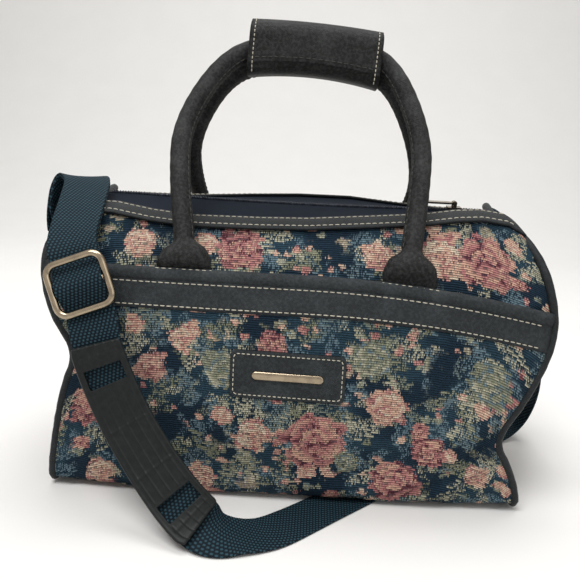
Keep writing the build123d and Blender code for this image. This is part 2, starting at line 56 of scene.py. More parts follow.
# Body, as in the solids
seam_half_length = 0.203
seam_half_depth = 0.094
front_height = 0.230
back_height = 0.242
panel_thickness = 0.002
panel_top_drop = 0.008
panel_foot_height = 0.0042
panel_foot_turn = 0.009
front_crown = 0.006
back_crown = 0.015
end_crown = 0.008
end_cave = 0.004
end_top_share = 0.995
end_top_drop = 0.001
end_top_lift = 0.005
piping_radius = 0.0036
piping_flat = 0.0003
piping_joint = 0.0005
seam_foot_half_width = 0.087
strap_hump = 0.0025
seam_tuck = 0.0012
seam_foot_share = 0.941
seam_top_rise_share = 0.994
seam_top_length_share = 0.848
right_seam_shares = [
    (0.050, 0.970, 0.950),
    (0.175, 1.000, 0.897),
    (0.278, 1.000, 0.823),
    (0.435, 1.000, 0.931),
    (0.652, 0.978, 1.020),
    (0.835, 0.893, 0.985),
    (0.943, 0.702, 0.931),
    (1.000, 0.489, 0.872),
]
left_seam_shares = [
    (0.050, 0.970, 0.950),
    (0.217, 1.000, 0.921),
    (0.391, 1.000, 0.882),
    (0.517, 1.000, 0.823),
    (0.652, 0.978, 0.931),
    (0.835, 0.893, 0.975),
    (0.943, 0.702, 0.931),
    (1.000, 0.489, 0.872),
]

# Front pocket, its band and the patch
pocket_swell = 0.008
pocket_gap = 0.0005
pocket_mouth_height = 0.190
pocket_mouth_drop = 0.021
mouth_drop_power = 2.2
band_width = 0.030
band_thickness = 0.0016
band_hem = 0.0015
band_seat = 0.0004
band_stitch_inset = 0.0012
binding_seat = 0.0011
binding_half_height = 0.0052
binding_half_thickness = 0.0031
pocket_length_share = 0.994
pocket_creases = [
    ((0.166, 0.066), (0.060, 0.028), 0.006, 0.010),
    ((-0.166, 0.118), (-0.090, 0.085), 0.004, 0.010),
]
patch_half_width = 0.0450
patch_half_height = 0.0191
patch_slant = 0.016
patch_height = 0.112
patch_corner = 0.005
patch_thickness = 0.0016
bar_half_width = 0.028
bar_half_height = 0.0034
bar_thickness = 0.0016
patch_round = 0.0008
bar_round = 0.0010

# Handles and their grip
handle_radius = 0.0079
handle_half_span = 0.097
handle_foot_height = 0.190
front_handle_height = 0.369
rear_handle_height = 0.3565
handle_top_offset = 0.0075
handle_lean_share = 0.92
foot_half_thickness = 0.0026
foot_tuck = 0.016
foot_column = 0.46
instep_rise = 0.0015
instep_half_thickness = 0.0052
sewn_gap = 0.0006
handle_step = 0.0018
handle_ridge = 0.10
handle_ridge_reach = 0.28
handle_wrinkle = 0.015
foot_rises = [-0.016, -0.006, 0.000, 0.004, 0.009, 0.0145, 0.018, 0.021]
foot_widths = [0.0165, 0.0200, 0.0212, 0.0212, 0.0200, 0.0165, 0.0106, 0.0079]
foot_thicknesses = [0.0024, 0.0027, 0.0050, 0.0098, 0.0112, 0.0102, 0.0086, 0.0079]
handle_arch_shares = [
    (-0.880, 0.090),
    (-0.985, 0.360),
    (-1.020, 0.620),
    (-0.680, 0.940),
    (-0.250, 1.000),
    (0.410, 1.000),
    (0.770, 0.930),
    (1.030, 0.600),
    (0.995, 0.340),
    (0.930, 0.090),
]
rear_arch_shares = [
    (-0.940, 0.090),
    (-1.080, 0.360),
    (-1.070, 0.620),
    (-0.690, 0.940),
    (-0.250, 1.000),
    (0.410, 1.000),
    (0.790, 0.930),
    (1.120, 0.600),
    (1.200, 0.320),
    (1.010, 0.090),
]
wrap_length = 0.110
wrap_half_depth = 0.020
wrap_half_height = 0.0216
wrap_wall = 0.0025
wrap_centre = Vector((0.008, 0.0, 0.3654))
wrap_slope = math.radians(3.3)
wrap_top_arch = 0.0020
wrap_foot_arch = 0.0052
wrap_lip = 0.0004
wrap_stitch_inset = 0.0040
flap_thickness = 0.0014
flap_foot_rise = 0.0095

# Zipper along the top
zip_height = 0.238
zip_tilt = math.radians(6.0)
zip_half_length = 0.1678
tape_thickness = 0.0008
facing_lip_depth = 0.040
facing_lip_height = 0.2300
facing_thickness = 0.002
facing_edge_out = 0.0028
back_lip_rise = 0.0100
strip_bow = 0.0012
tape_gap = 0.0016
tape_drop = 0.0026
tape_tuck = 0.003
tooth_pitch = 0.0024
tooth_offset = 0.0014
tooth_half_width = 0.00086
tooth_half_height = 0.00140
tooth_rise = 0.0009
zip_sag = 0.0022
sag_half_length = 0.145

# Strap and pad
strap_half_width = 0.019
strap_half_thickness = 0.0009
pad_half_width = 0.0200
pad_thickness = 0.0030
pad_lift = 0.0036
bar_lift = 0.0016
bar_lift_reach = 0.006
pad_window_half_length = 0.0072
pad_window_half_width = 0.0148
pad_rib_pitch = 0.0071
pad_rib_height = 0.0005
pad_rib_reach = 0.0006
pad_groove_shares = (0.06, 0.42, 0.66, 0.94)
pad_groove_reach = 0.0008
pad_groove_half_width = 0.0160

# Stitches
stitch_length = 0.0040
stitch_gap = 0.0010
stitch_radius = 0.00044
stitch_sides = 6

# Cloth simulation, webbing and tabs
settle_frames = 16
ribbon_step = 0.0025
tab_voxel = 0.0007
tab_stitch_inset = 0.003
tab_stitch_drop = 0.010

# Colours, as linear values
navy_ground = (0.012, 0.028, 0.047)
navy_light = (0.025, 0.056, 0.082)
rose_dark = (0.110, 0.034, 0.048)
rose_pink = (0.470, 0.200, 0.195)
rose_peach = (0.660, 0.400, 0.300)
rose_cream = (0.720, 0.600, 0.460)
leaf_sage = (0.240, 0.250, 0.170)
leaf_cream = (0.480, 0.460, 0.345)
leaf_slate = (0.140, 0.210, 0.250)
leather_dark = (0.0040, 0.0042, 0.0042)
leather_pale = (0.046, 0.049, 0.048)
# Webbing colours: dark in the gaps of the twill and pale on its raised dots, a difference that is painted light
# and shade.
webbing_dark = (0.0015, 0.006, 0.010)
webbing_pale = (0.024, 0.060, 0.080)
# Zipper tape colours: partly uneven tone, partly painted light on the crests of the tape's ribs.
tape_navy = (0.0035, 0.006, 0.011)
tape_light = (0.009, 0.014, 0.025)
coil_navy = (0.010, 0.013, 0.021)
metal_champagne = (0.360, 0.290, 0.205)
rubber_charcoal = (0.005, 0.0065, 0.0065)
rubber_pale = (0.009, 0.011, 0.011)
thread_cream = (0.520, 0.490, 0.400)
thread_dim = (0.060, 0.060, 0.056)
board_grey = (0.030, 0.030, 0.033)
cord_cream = (0.350, 0.330, 0.280)

# Large blossoms on the front: place along and up the weave, radius, and kind from rose to sage
front_blossoms = [
    (0.550, 0.268, 0.0225, 0.0),
    (0.516, 0.266, 0.0190, 0.5),
    (0.356, 0.262, 0.0190, 0.1),
    (0.328, 0.265, 0.0120, 0.5),
    (0.465, 0.263, 0.0125, 0.6),
    (0.275, 0.265, 0.0125, 0.55),
    (0.424, 0.107, 0.0255, 0.0),
    (0.491, 0.074, 0.0200, 0.05),
    (0.479, 0.143, 0.0160, 0.45),
    (0.374, 0.109, 0.0150, 0.5),
    (0.515, 0.106, 0.0140, 0.2),
    (0.243, 0.132, 0.0180, 0.05),
    (0.387, 0.189, 0.0105, 0.1),
    (0.292, 0.165, 0.0120, 0.3),
    (0.349, 0.166, 0.0175, 1.0),
    (0.464, 0.181, 0.0160, 0.95),
    (0.557, 0.176, 0.0170, 1.0),
    (0.249, 0.069, 0.0125, 0.5),
    (0.316, 0.190, 0.0095, 0.5),
    (0.449, 0.090, 0.0105, 0.9),
    (0.556, 0.089, 0.0110, 0.4),
    (0.334, 0.066, 0.0120, 0.45),
]


# Node trees


class Shader:
    """Short calls for building one material's nodes."""

    def __init__(self, name, roughness, specular=0.5):
        self.material = bpy.data.materials.new(name)
        self.material.use_nodes = True
        self.tree = self.material.node_tree
        self.surface = self.tree.nodes["Principled BSDF"]
        self.surface.inputs["Roughness"].default_value = roughness
        self.surface.inputs["Specular IOR Level"].default_value = specular

    def node(self, kind, **settings):
        made = self.tree.nodes.new(kind)
        for key, value in settings.items():
            setattr(made, key, value)
        return made

    def plug(self, socket, value):
        """Links a socket to another, or sets its value."""
        if isinstance(value, bpy.types.NodeSocket):
            self.tree.links.new(value, socket)
        elif hasattr(value, "__len__") and len(value) == 3 and len(socket.default_value) == 4:
            socket.default_value = (*value, 1.0)
        else:
            socket.default_value = value

    def math(self, operation, a, b=0.0, c=0.0):
        made = self.node("ShaderNodeMath", operation=operation)
        for socket, value in zip(made.inputs, (a, b, c)):
            self.plug(socket, value)
        return made.outputs[0]

    def times(self, a, b, plus=None):
        """Product of two values, with a third added to it if there is one."""
        if plus is None:
            return self.math("MULTIPLY", a, b)
        return self.math("MULTIPLY_ADD", a, b, plus)

    def vector(self, operation, a, b=(0.0, 0.0, 0.0)):
        made = self.node("ShaderNodeVectorMath", operation=operation)
        self.plug(made.inputs[0], a)
        self.plug(made.inputs[1], b)
        return made.outputs["Value"] if operation in ("LENGTH", "DOT_PRODUCT") else made.outputs[0]

    def split(self, vector):
        made = self.node("ShaderNodeSeparateXYZ")
        self.plug(made.inputs[0], vector)
        return made.outputs

    def join(self, x, y, z=0.0):
        made = self.node("ShaderNodeCombineXYZ")
        for socket, value in zip(made.inputs, (x, y, z)):
            self.plug(socket, value)
        return made.outputs[0]

    def mix(self, share, a, b):
        made = self.node("ShaderNodeMix", data_type="RGBA")
        self.plug(made.inputs[0], share)
        self.plug(made.inputs[6], a)
        self.plug(made.inputs[7], b)
        return made.outputs[2]

    def noise(self, place, scale, detail=3.0, dimensions="3D"):
        made = self.node("ShaderNodeTexNoise", noise_dimensions=dimensions)
        self.plug(made.inputs["Vector"], place)
        made.inputs["Scale"].default_value = scale
        made.inputs["Detail"].default_value = detail
        return made.outputs["Fac"]

    def cells(self, place, cell, randomness=1.0):
        """Distance, colour and centre of the nearest cell on a plane."""
        made = self.node("ShaderNodeTexVoronoi", voronoi_dimensions="2D", feature="F1")
        self.plug(made.inputs["Vector"], place)
        made.inputs["Scale"].default_value = 1.0 / cell
        made.inputs["Randomness"].default_value = randomness
        return made.outputs["Distance"], made.outputs["Color"], made.outputs["Position"]

    def ramp(self, value, low, high):
        """0 below low and 1 above high, smooth between."""
        made = self.node("ShaderNodeMapRange", interpolation_type="SMOOTHSTEP")
        self.plug(made.inputs["Value"], value)
        made.inputs["From Min"].default_value = low
        made.inputs["From Max"].default_value = high
        return made.outputs["Result"]

    def uv(self):
        return self.node("ShaderNodeUVMap", uv_map="UVMap").outputs[0]

    def place(self):
        return self.node("ShaderNodeTexCoord").outputs["Object"]

    def bump(self, height, strength, distance):
        made = self.node("ShaderNodeBump")
        self.plug(made.inputs["Height"], height)
        made.inputs["Strength"].default_value = strength
        made.inputs["Distance"].default_value = distance
        self.plug(self.surface.inputs["Normal"], made.outputs[0])

    def colour(self, value):
        self.plug(self.surface.inputs["Base Color"], value)


def scattered(shader, place, cell, radius, presence):
    """Place in the nearest blossom of a scatter, in shares of its radius, with its random values."""
    _, tint, centre = shader.cells(place, cell, 0.8)
    random = shader.split(tint)
    size = shader.times(shader.times(random[2], 0.5, 0.75), radius)
    local = shader.split(shader.vector("SUBTRACT", place, centre))
    far = shader.times(shader.math("GREATER_THAN", random[0], presence), 9.0)
    across = shader.math("ADD", shader.math("DIVIDE", local[0], size), far)
    return shader.join(across, shader.math("DIVIDE", local[1], size), random[1])


def placed(shader, place, blossoms):
    """Place in the nearest of some blossoms, in shares of its radius, with its kind as the third value."""
    best, shortest = None, None
    for along, up, radius, kind in blossoms:
        local = shader.vector("SUBTRACT", place, (along, up, -kind))
        local = shader.vector("MULTIPLY", local, (1.0 / radius, 1.0 / radius, 1.0))
        length = shader.vector("LENGTH", shader.vector("MULTIPLY", local, (1.0, 1.0, 0.0)))
        if best is None:
            best, shortest = local, length
            continue
        nearer = shader.math("LESS_THAN", length, shortest)
        chosen = shader.node("ShaderNodeMix", data_type="VECTOR")
        shader.plug(chosen.inputs[0], nearer)
        shader.plug(chosen.inputs[4], best)
        shader.plug(chosen.inputs[5], local)
        best, shortest = chosen.outputs[1], shader.math("MINIMUM", shortest, length)
    return best


def petals(shader, local, cloudy):
    """Mask and colour of blossoms with rings of petals, from rose through peach to sage."""
    parts = shader.split(local)
    kind = parts[2]
    turn = shader.times(shader.math("ARCTAN2", parts[1], parts[0]), 0.5 / math.pi)
    length = shader.vector("LENGTH", shader.vector("MULTIPLY", local, (1.0, 1.0, 0.0)))
    share = shader.math("DIVIDE", length, shader.times(cloudy, 1.1, 0.45))
    mask = shader.math("LESS_THAN", share, 1.0)
    depth = shader.times(share, 2.9, shader.times(cloudy, 1.4))
    ring = shader.math("FLOOR", depth)
    shift = shader.times(ring, 0.37, kind)
    around = shader.times(shader.math("ADD", turn, shift), shader.math("ADD", ring, 2.0))
    chance = shader.node("ShaderNodeTexWhiteNoise", noise_dimensions="2D")
    shader.plug(chance.inputs["Vector"], shader.join(shift, shader.math("FLOOR", around)))
    side = shader.math("ABSOLUTE", shader.math("SUBTRACT", shader.math("FRACT", around), 0.5))
    light = shader.times(shader.math("FRACT", depth), 0.75, shader.times(chance.outputs["Value"], 0.45))
    light = shader.math("SUBTRACT", light, shader.times(shader.ramp(side, 0.34, 0.49), 0.5))
    low = shader.ramp(light, 0.05, 0.40)
    high = shader.ramp(light, 0.45, 0.95)
    rose = shader.mix(low, rose_dark, shader.mix(high, rose_pink, rose_peach))
    peach = shader.mix(low, rose_pink, shader.mix(high, rose_peach, rose_cream))
    sage = shader.mix(low, leaf_slate, shader.mix(high, leaf_sage, leaf_cream))
    tone = shader.mix(shader.ramp(kind, 0.2, 0.42), rose, peach)
    return mask, shader.mix(shader.ramp(kind, 0.7, 0.85), tone, sage)


def fern(shader, place, cell, reach, half_width, pitch, presence):
    """Mask and random values of serrated sprays, one to a cell and turned at random."""
    _, tint, centre = shader.cells(place, cell, 1.0)
    random = shader.split(tint)
    turned = shader.node("ShaderNodeVectorRotate", rotation_type="Z_AXIS")
    shader.plug(turned.inputs["Vector"], shader.vector("SUBTRACT", place, centre))
    shader.plug(turned.inputs["Angle"], shader.times(random[1], 6.28))
    parts = shader.split(turned.outputs[0])
    off = shader.math("ABSOLUTE", parts[1])
    along = shader.math("POWER", shader.math("DIVIDE", parts[0], reach), 2.0)
    inside = shader.math("LESS_THAN", shader.times(off, 1.0 / half_width, along), 1.0)
    slant = shader.times(off, 0.9, parts[0])
    leaflet = shader.math("LESS_THAN", shader.math("FRACT", shader.math("DIVIDE", slant, pitch)), 0.58)
    chosen = shader.math("LESS_THAN", random[0], presence)
    return shader.times(shader.times(inside, leaflet), chosen), random


def tapestry_material(name, blossoms):
    """Woven roses, sprays of leaves and small blossoms on a navy teal ground, with painted shade between its
    woven ribs.
    """
    shader = Shader(name, 0.88, 0.12)
    pick, dash, stray = 0.0019, 0.0017, 0.0034
    flat = shader.uv()
    woven = shader.vector("SNAP", flat, (dash, pick, 1.0))
    white = shader.node("ShaderNodeTexWhiteNoise", noise_dimensions="2D")
    shader.plug(white.inputs["Vector"], woven)
    jitter = shader.times(shader.math("SUBTRACT", white.outputs["Value"], 0.5), stray)
    parts = shader.split(flat)
    rows = shader.split(woven)
    place = shader.join(shader.math("ADD", parts[0], jitter), rows[1])

    broad = shader.noise(place, 22.0, 2.0, "2D")
    cloudy = shader.noise(place, 85.0, 2.0, "2D")
    speckle = shader.noise(place, 520.0, 2.0, "2D")
    colour = shader.mix(shader.ramp(broad, 0.38, 0.62), navy_ground, navy_light)

    sprays = (
        (0.020, 0.0115, 0.0052, 0.0030, 0.80, 0.0),
        (0.027, 0.0165, 0.0070, 0.0036, 0.75, 0.3),
        (0.016, 0.0085, 0.0040, 0.0026, 0.60, 0.6),
        (0.034, 0.0200, 0.0080, 0.0042, 0.70, 0.9),
    )
    for cell, reach, half_width, pitch, presence, shift in sprays:
        moved = shader.vector("ADD", place, (shift + 0.17, shift * 1.7 + 0.09, 0.0))
        mask, random = fern(shader, moved, cell, reach, half_width, pitch, presence)
        tone = shader.mix(shader.ramp(random[2], 0.25, 0.5), leaf_slate, leaf_sage)
        tone = shader.mix(shader.ramp(random[2], 0.62, 0.85), tone, leaf_cream)
        mask = shader.times(mask, shader.ramp(speckle, 0.36, 0.46))
        mask = shader.times(mask, shader.ramp(broad, 0.34, 0.42))
        colour = shader.mix(mask, colour, tone)

    for cell, radius, presence, shift in ((0.0090, 0.0030, 0.34, 0.31), (0.0230, 0.0072, 0.38, 0.53)):
        moved = shader.vector("ADD", place, (shift, shift * 0.6, 0.0))
        local = scattered(shader, moved, cell, radius, presence)
        mask, tone = petals(shader, local, cloudy)
        mask = shader.times(mask, shader.ramp(shader.noise(moved, 30.0, 1.0, "2D"), 0.44, 0.50))
        colour = shader.mix(mask, colour, tone)

    local = placed(shader, place, blossoms) if blossoms else scattered(shader, place, 0.062, 0.0190, 0.72)
    mask, tone = petals(shader, local, cloudy)
    gap = shader.ramp(speckle, 0.35, 0.43)
    tone = shader.mix(gap, shader.mix(0.65, tone, navy_ground), tone)
    colour = shader.mix(mask, colour, tone)

    # Painted shade: the colour darkens toward black in the valleys between the woven ribs and keeps its full
    # value on the rib crests; the random value per stitch adds uneven tone.
    rib = shader.math("SINE", shader.times(parts[1], 2.0 * math.pi / pick))
    warp = shader.math("SINE", shader.times(parts[0], 2.0 * math.pi / dash))
    depth = shader.times(shader.ramp(rib, -0.95, 0.25), 0.72)
    shade = shader.times(white.outputs["Value"], 0.28, depth)
    dark = shader.mix(0.78, colour, (0.0, 0.0, 0.0))
    shader.colour(shader.mix(shade, dark, colour))
    shader.bump(shader.times(warp, 0.25, rib), 0.55, 0.0004)
    return shader.material


def leather_material(name, dark, pale, roughness, grain_size):
    """Matte leatherette with a fine grain, painted shade in the grain's grooves, and worn pale patches."""
    shader = Shader(name, roughness, 0.20)
    place = shader.place()
    worn = shader.ramp(shader.noise(place, 38.0, 5.0), 0.45, 0.72)
    cloudy = shader.noise(place, 430.0, 4.0)
    pores = shader.node("ShaderNodeTexVoronoi", feature="DISTANCE_TO_EDGE")
    shader.plug(pores.inputs["Vector"], place)
    pores.inputs["Scale"].default_value = 1.0 / grain_size
    grain = shader.ramp(pores.outputs["Distance"], 0.02, 0.22)
    tone = shader.times(shader.ramp(cloudy, 0.38, 0.66), 0.55, shader.times(worn, 0.42))
    shade = shader.mix(tone, dark, pale)
    # Painted shade: the grooves between the grain cells are darkened toward the dark colour.
    crease = shader.mix(0.35, shade, dark)
    shader.colour(shader.mix(grain, crease, shade))
    fine = shader.noise(place, 1400.0, 3.0)
    shader.bump(shader.times(fine, 0.6, grain), 0.45, 0.0005)
    shader.plug(shader.surface.inputs["Roughness"], shader.times(cloudy, 0.30, roughness - 0.15))
    return shader.material


def webbing_material():
    """Twill webbing: small slanting dots across the ribbon, painted pale on their raised crests with painted
    shade in the gaps between them.
    """
    shader = Shader("webbing", 0.72, 0.15)
    parts = shader.split(shader.uv())
    yarn, rise = 0.0032, 0.0022
    row = shader.math("DIVIDE", parts[1], rise)
    turn = shader.times(shader.math("FLOOR", row), 2.1, shader.times(parts[0], 2.0 * math.pi / yarn))
    bead = shader.math("SINE", shader.times(shader.math("FRACT", row), math.pi))
    knit = shader.times(shader.times(shader.math("SINE", turn), 0.5, 0.5), bead)
    haze = shader.noise(shader.uv(), 60.0, 3.0)
    # Painted light and shade: the raised dots of the twill are painted pale and the gaps between them dark,
    # under an uneven haze.
    light = shader.times(shader.ramp(knit, 0.12, 0.85), shader.times(haze, 0.5, 0.75))
    shader.colour(shader.mix(light, webbing_dark, webbing_pale))
    shader.bump(knit, 0.7, 0.0006)
    return shader.material


def tape_material():
    """Woven zipper tape with fine lengthwise ribs, painted lighter on their crests and darker in their grooves.
    """
    shader = Shader("zip_tape", 0.8, 0.12)
    parts = shader.split(shader.place())
    ribs = shader.math("SINE", shader.times(parts[1], 2.0 * math.pi / 0.0011))
    haze = shader.noise(shader.place(), 120.0, 3.0)
    # Partly painted light: the rib term lightens the crests and darkens the grooves; the haze term is uneven
    # tone.
    light = shader.times(ribs, 0.12, shader.times(haze, 0.7))
    shader.colour(shader.mix(light, tape_navy, tape_light))
    shader.bump(ribs, 0.3, 0.0002)
    return shader.material


def speckled_material(name, tone, light, roughness, scale):
    """Moulded or spun surface with a fine uneven tone."""
    shader = Shader(name, roughness, 0.22)
    haze = shader.noise(shader.place(), scale, 4.0)
    shader.colour(shader.mix(shader.ramp(haze, 0.35, 0.7), tone, light))
    shader.bump(haze, 0.15, 0.0003)
    return shader.material


def metal_material():
    """Pale champagne metal with faint handling marks."""
    shader = Shader("metal", 0.26)
    shader.surface.inputs["Metallic"].default_value = 1.0
    marks = shader.noise(shader.place(), 160.0, 5.0)
    shader.colour(shader.mix(shader.ramp(marks, 0.4, 0.7), metal_champagne, (0.270, 0.220, 0.160)))
    shader.plug(shader.surface.inputs["Roughness"], shader.times(marks, 0.14, 0.12))
    return shader.material


materials = {
    "tapestry": tapestry_material("tapestry", None),
    "front_tapestry": tapestry_material("front_tapestry", front_blossoms),
    "leatherette": leather_material("leatherette", leather_dark, leather_pale, 0.58, 0.0011),
    "band": leather_material("band_leather", (0.014, 0.017, 0.019), (0.044, 0.052, 0.056), 0.6, 0.0009),
    "piping": leather_material("piping_leather", (0.008, 0.010, 0.011), (0.024, 0.029, 0.032), 0.5, 0.0010),
    "webbing": webbing_material(),
    "zip_tape": tape_material(),
    "zip_coil": speckled_material("zip_coil", coil_navy, (0.050, 0.058, 0.075), 0.45, 300.0),
    "metal": metal_material(),
    "pad_rubber": speckled_material("pad_rubber", rubber_charcoal, rubber_pale, 0.5, 260.0),
    "thread": speckled_material("thread", thread_cream, (0.420, 0.390, 0.320), 0.8, 900.0),
    "dim_thread": speckled_material("dim_thread", thread_dim, (0.035, 0.035, 0.033), 0.8, 900.0),
    "board": speckled_material("board", board_grey, (0.045, 0.045, 0.048), 0.7, 200.0),
    "core": speckled_material("core", cord_cream, (0.250, 0.230, 0.190), 0.9, 500.0),
}


# Meshes


def make_piece(name, verts, faces, material, stands_for=(), uv=None, body="bag"):
    """New piece with smooth faces, which rides on a body."""
    mesh = bpy.data.meshes.new(name)
    mesh.from_pydata([tuple(v) for v in verts], [], [tuple(f) for f in faces])
    mesh.polygons.foreach_set("use_smooth", [True] * len(mesh.polygons))
    mesh.materials.append(materials[material])
    if uv is not None:
        layer = mesh.uv_layers.new(name="UVMap")
        corners = np.array([loop.vertex_index for loop in mesh.loops])
        layer.data.foreach_set("uv", np.asarray(uv, float)[corners].ravel())
    mesh.validate()
    piece = bpy.data.objects.new(name, mesh)
    scene.collection.objects.link(piece)
    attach(piece, body)
    if stands_for:
        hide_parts(*stands_for)
    return piece


def grid_piece(name, points, material, slot, stands_for=(), uv=None, flip=False):
    """New piece from a grid of points, with its faces turned over if asked."""
    faces = grid_faces(*points.shape[:2])
    if flip:
        faces = [face[::-1] for face in faces]
    return make_piece(name, points.reshape(-1, 3), faces, material, stands_for, uv)


def tube_piece(name, rings, material, stands_for=(), uv=None):
    """New piece from a row of closed loops."""
    faces = ring_faces(*rings.shape[:2])
    return make_piece(name, rings.reshape(-1, 3), faces, material, stands_for, uv)


def unit(vectors):
    """Vectors of length one."""
    lengths = np.linalg.norm(vectors, axis=-1, keepdims=True)
    return vectors / np.maximum(lengths, 1e-12)


def turns(sides):
    """Angles at even steps round a circle."""
    return np.arange(sides) * 2 * math.pi / sides


def shifted(faces, base):
    """Faces with their corners counted on from a base."""
    return [tuple(base + corner for corner in face) for face in faces]


def grid_faces(rows, columns):
    """Quads of a grid of points."""
    index = np.arange(rows * columns).reshape(rows, columns)
    quads = np.stack([index[:-1, :-1], index[:-1, 1:], index[1:, 1:], index[1:, :-1]], axis=-1)
    return quads.reshape(-1, 4).tolist()


def ring_faces(rings, sides):
    """Quads and end caps of a row of closed loops."""
    faces = []
    for ring in range(rings - 1):
        low, high = ring * sides, (ring + 1) * sides
        for side in range(sides):
            after = (side + 1) % sides
            faces.append((low + side, low + after, high + after, high + side))
    faces.append(tuple(range(sides))[::-1])
    faces.append(tuple((rings - 1) * sides + side for side in range(sides)))
    return faces


def spline_points(points, resolution=10):
    """Points along a smooth spline with these control points."""
    curve = bpy.data.curves.new("route", "CURVE")
    curve.dimensions = "3D"
    curve.resolution_u = resolution
    spline = curve.splines.new("NURBS")
    spline.points.add(len(points) - 1)
    for control, point in zip(spline.points, points):
        control.co = (*point, 1.0)
    spline.order_u = 3
    spline.use_endpoint_u = True
    holder = bpy.data.objects.new("route", curve)
    mesh = bpy.data.meshes.new_from_object(holder)
    line = np.array([vertex.co[:] for vertex in mesh.vertices])
    bpy.data.objects.remove(holder)
    bpy.data.curves.remove(curve)
    bpy.data.meshes.remove(mesh)
    return line


def run_lengths(line):
    """Distance along a line at each of its points."""
    return np.concatenate([[0.0], np.cumsum(np.linalg.norm(np.diff(line, axis=0), axis=1))])


def read_at(places, runs, values):
    """Values known at some distances along a line, read at other places."""
    return np.stack([np.interp(places, runs, column) for column in values.T], axis=1)


def even_points(line, step, extra=None):
    """Points at even distances along a line, with other values read at the same places."""
    runs = run_lengths(line)
    places = np.linspace(0.0, runs[-1], max(2, int(round(runs[-1] / step)) + 1))
    if extra is None:
        return read_at(places, runs, line)
    return read_at(places, runs, line), read_at(places, runs, extra)


def closed_points(loop, step=None, count=None):
    """Points at even distances round a closed loop."""
    loop = np.concatenate([loop, loop[:1]])
    runs = run_lengths(loop)
    count = count or int(runs[-1] / step)
    return read_at(np.linspace(0.0, runs[-1], count, endpoint=False), runs, loop)


def side_frames(line, guide):
    """Directions along, across and out of a line, with out near a guide direction."""
    along = unit(np.gradient(line, axis=0))
    guide = np.broadcast_to(np.asarray(guide, float), line.shape)
    across = unit(np.cross(along, guide))
    return along, across, np.cross(across, along)


def tube_rings(line, guide, half_across, half_out, sides=16):
    """Oval loops along a line."""
    _, across, out = side_frames(line, guide)
    angle = turns(sides)
    wide = np.broadcast_to(half_across, len(line))[:, None, None] * np.cos(angle)[None, :, None]
    high = np.broadcast_to(half_out, len(line))[:, None, None] * np.sin(angle)[None, :, None]
    return line[:, None, :] + across[:, None, :] * wide + out[:, None, :] * high


def stitches(name, line, out, material="thread", length=stitch_length):
    """Row of short thread stitches along a line, lifted along the out directions."""
    out = np.broadcast_to(np.asarray(out, float), line.shape)
    runs = run_lengths(line)
    count = max(1, int(runs[-1] / (length + stitch_gap)))
    starts = (np.arange(count) + 0.5) * runs[-1] / count - length / 2
    shape = [(0.0, 0.35, -0.6), (0.15, 0.9, 0.2), (0.5, 1.0, 0.6), (0.85, 0.9, 0.2), (1.0, 0.35, -0.6)]
    angle = turns(stitch_sides)
    loops = []
    for share, width, lift in shape:
        where = starts + share * length
        normal = unit(read_at(where, runs, out))
        centre = read_at(where, runs, line) + normal * lift * stitch_radius
        ahead = unit(read_at(where + 1e-5, runs, line) - read_at(where - 1e-5, runs, line))
        across = unit(np.cross(ahead, normal))
        ring = across[:, None] * np.cos(angle)[None, :, None] + normal[:, None] * np.sin(angle)[None, :, None]
        loops.append(centre[:, None] + ring * stitch_radius * width)
    pattern = ring_faces(len(shape), stitch_sides)
    verts, faces = [], []
    for stitch in np.stack(loops, axis=1):
        faces += shifted(pattern, len(verts))
        verts.extend(stitch.reshape(-1, 3))
    return make_piece(name, verts, faces, material)


def thicken(piece, thickness):
    """Gives a sheet its thickness, inwards from its face."""
    solid = piece.modifiers.new("thickness", "SOLIDIFY")
    solid.thickness = thickness
    solid.offset = -1.0


def settle(points, pinned, pressure, slack, reach):
    """Grid of cloth after a short simulation with its sewn points held."""
    rows, columns = points.shape[:2]
    mesh = bpy.data.meshes.new("cloth")
    mesh.from_pydata([tuple(p) for p in points.reshape(-1, 3)], [], grid_faces(rows, columns))
    cloth = bpy.data.objects.new("cloth", mesh)
    scene.collection.objects.link(cloth)
    group = cloth.vertex_groups.new(name="sewn")
    group.add([int(i) for i in np.flatnonzero(pinned.ravel())], 1.0, "REPLACE")
    modifier = cloth.modifiers.new("cloth", "CLOTH")
    settings = modifier.settings
    settings.quality = 6
    settings.mass = 0.25
    settings.tension_stiffness = 18.0
    settings.compression_stiffness = 18.0
    settings.shear_stiffness = 8.0
    settings.bending_stiffness = 1.2
    settings.vertex_group_mass = "sewn"
    settings.shrink_min = -slack
    settings.use_pressure = True
    settings.uniform_pressure_force = pressure
    settings.effector_weights.gravity = 0.35
    modifier.collision_settings.use_collision = False
    modifier.point_cache.frame_start = 1
    modifier.point_cache.frame_end = settle_frames
    for number in range(1, settle_frames + 1):
        scene.frame_set(number)
    held = cloth.evaluated_get(bpy.context.evaluated_depsgraph_get())
    moved = np.array([vertex.co[:] for vertex in held.data.vertices]).reshape(points.shape)
    bpy.data.objects.remove(cloth)
    bpy.data.meshes.remove(mesh)
    scene.frame_set(1)
    shift = moved - points
    far = np.linalg.norm(shift, axis=-1, keepdims=True)
    return points + shift * np.minimum(1.0, reach / np.maximum(far, 1e-9))


# End seams


def seam_side(shares, side, facing, height):
    """Control points of a seam's front or back run, from its foot up."""
    return [(x * side * seam_half_length, y * facing * seam_half_depth, z * height) for z, y, x in shares]


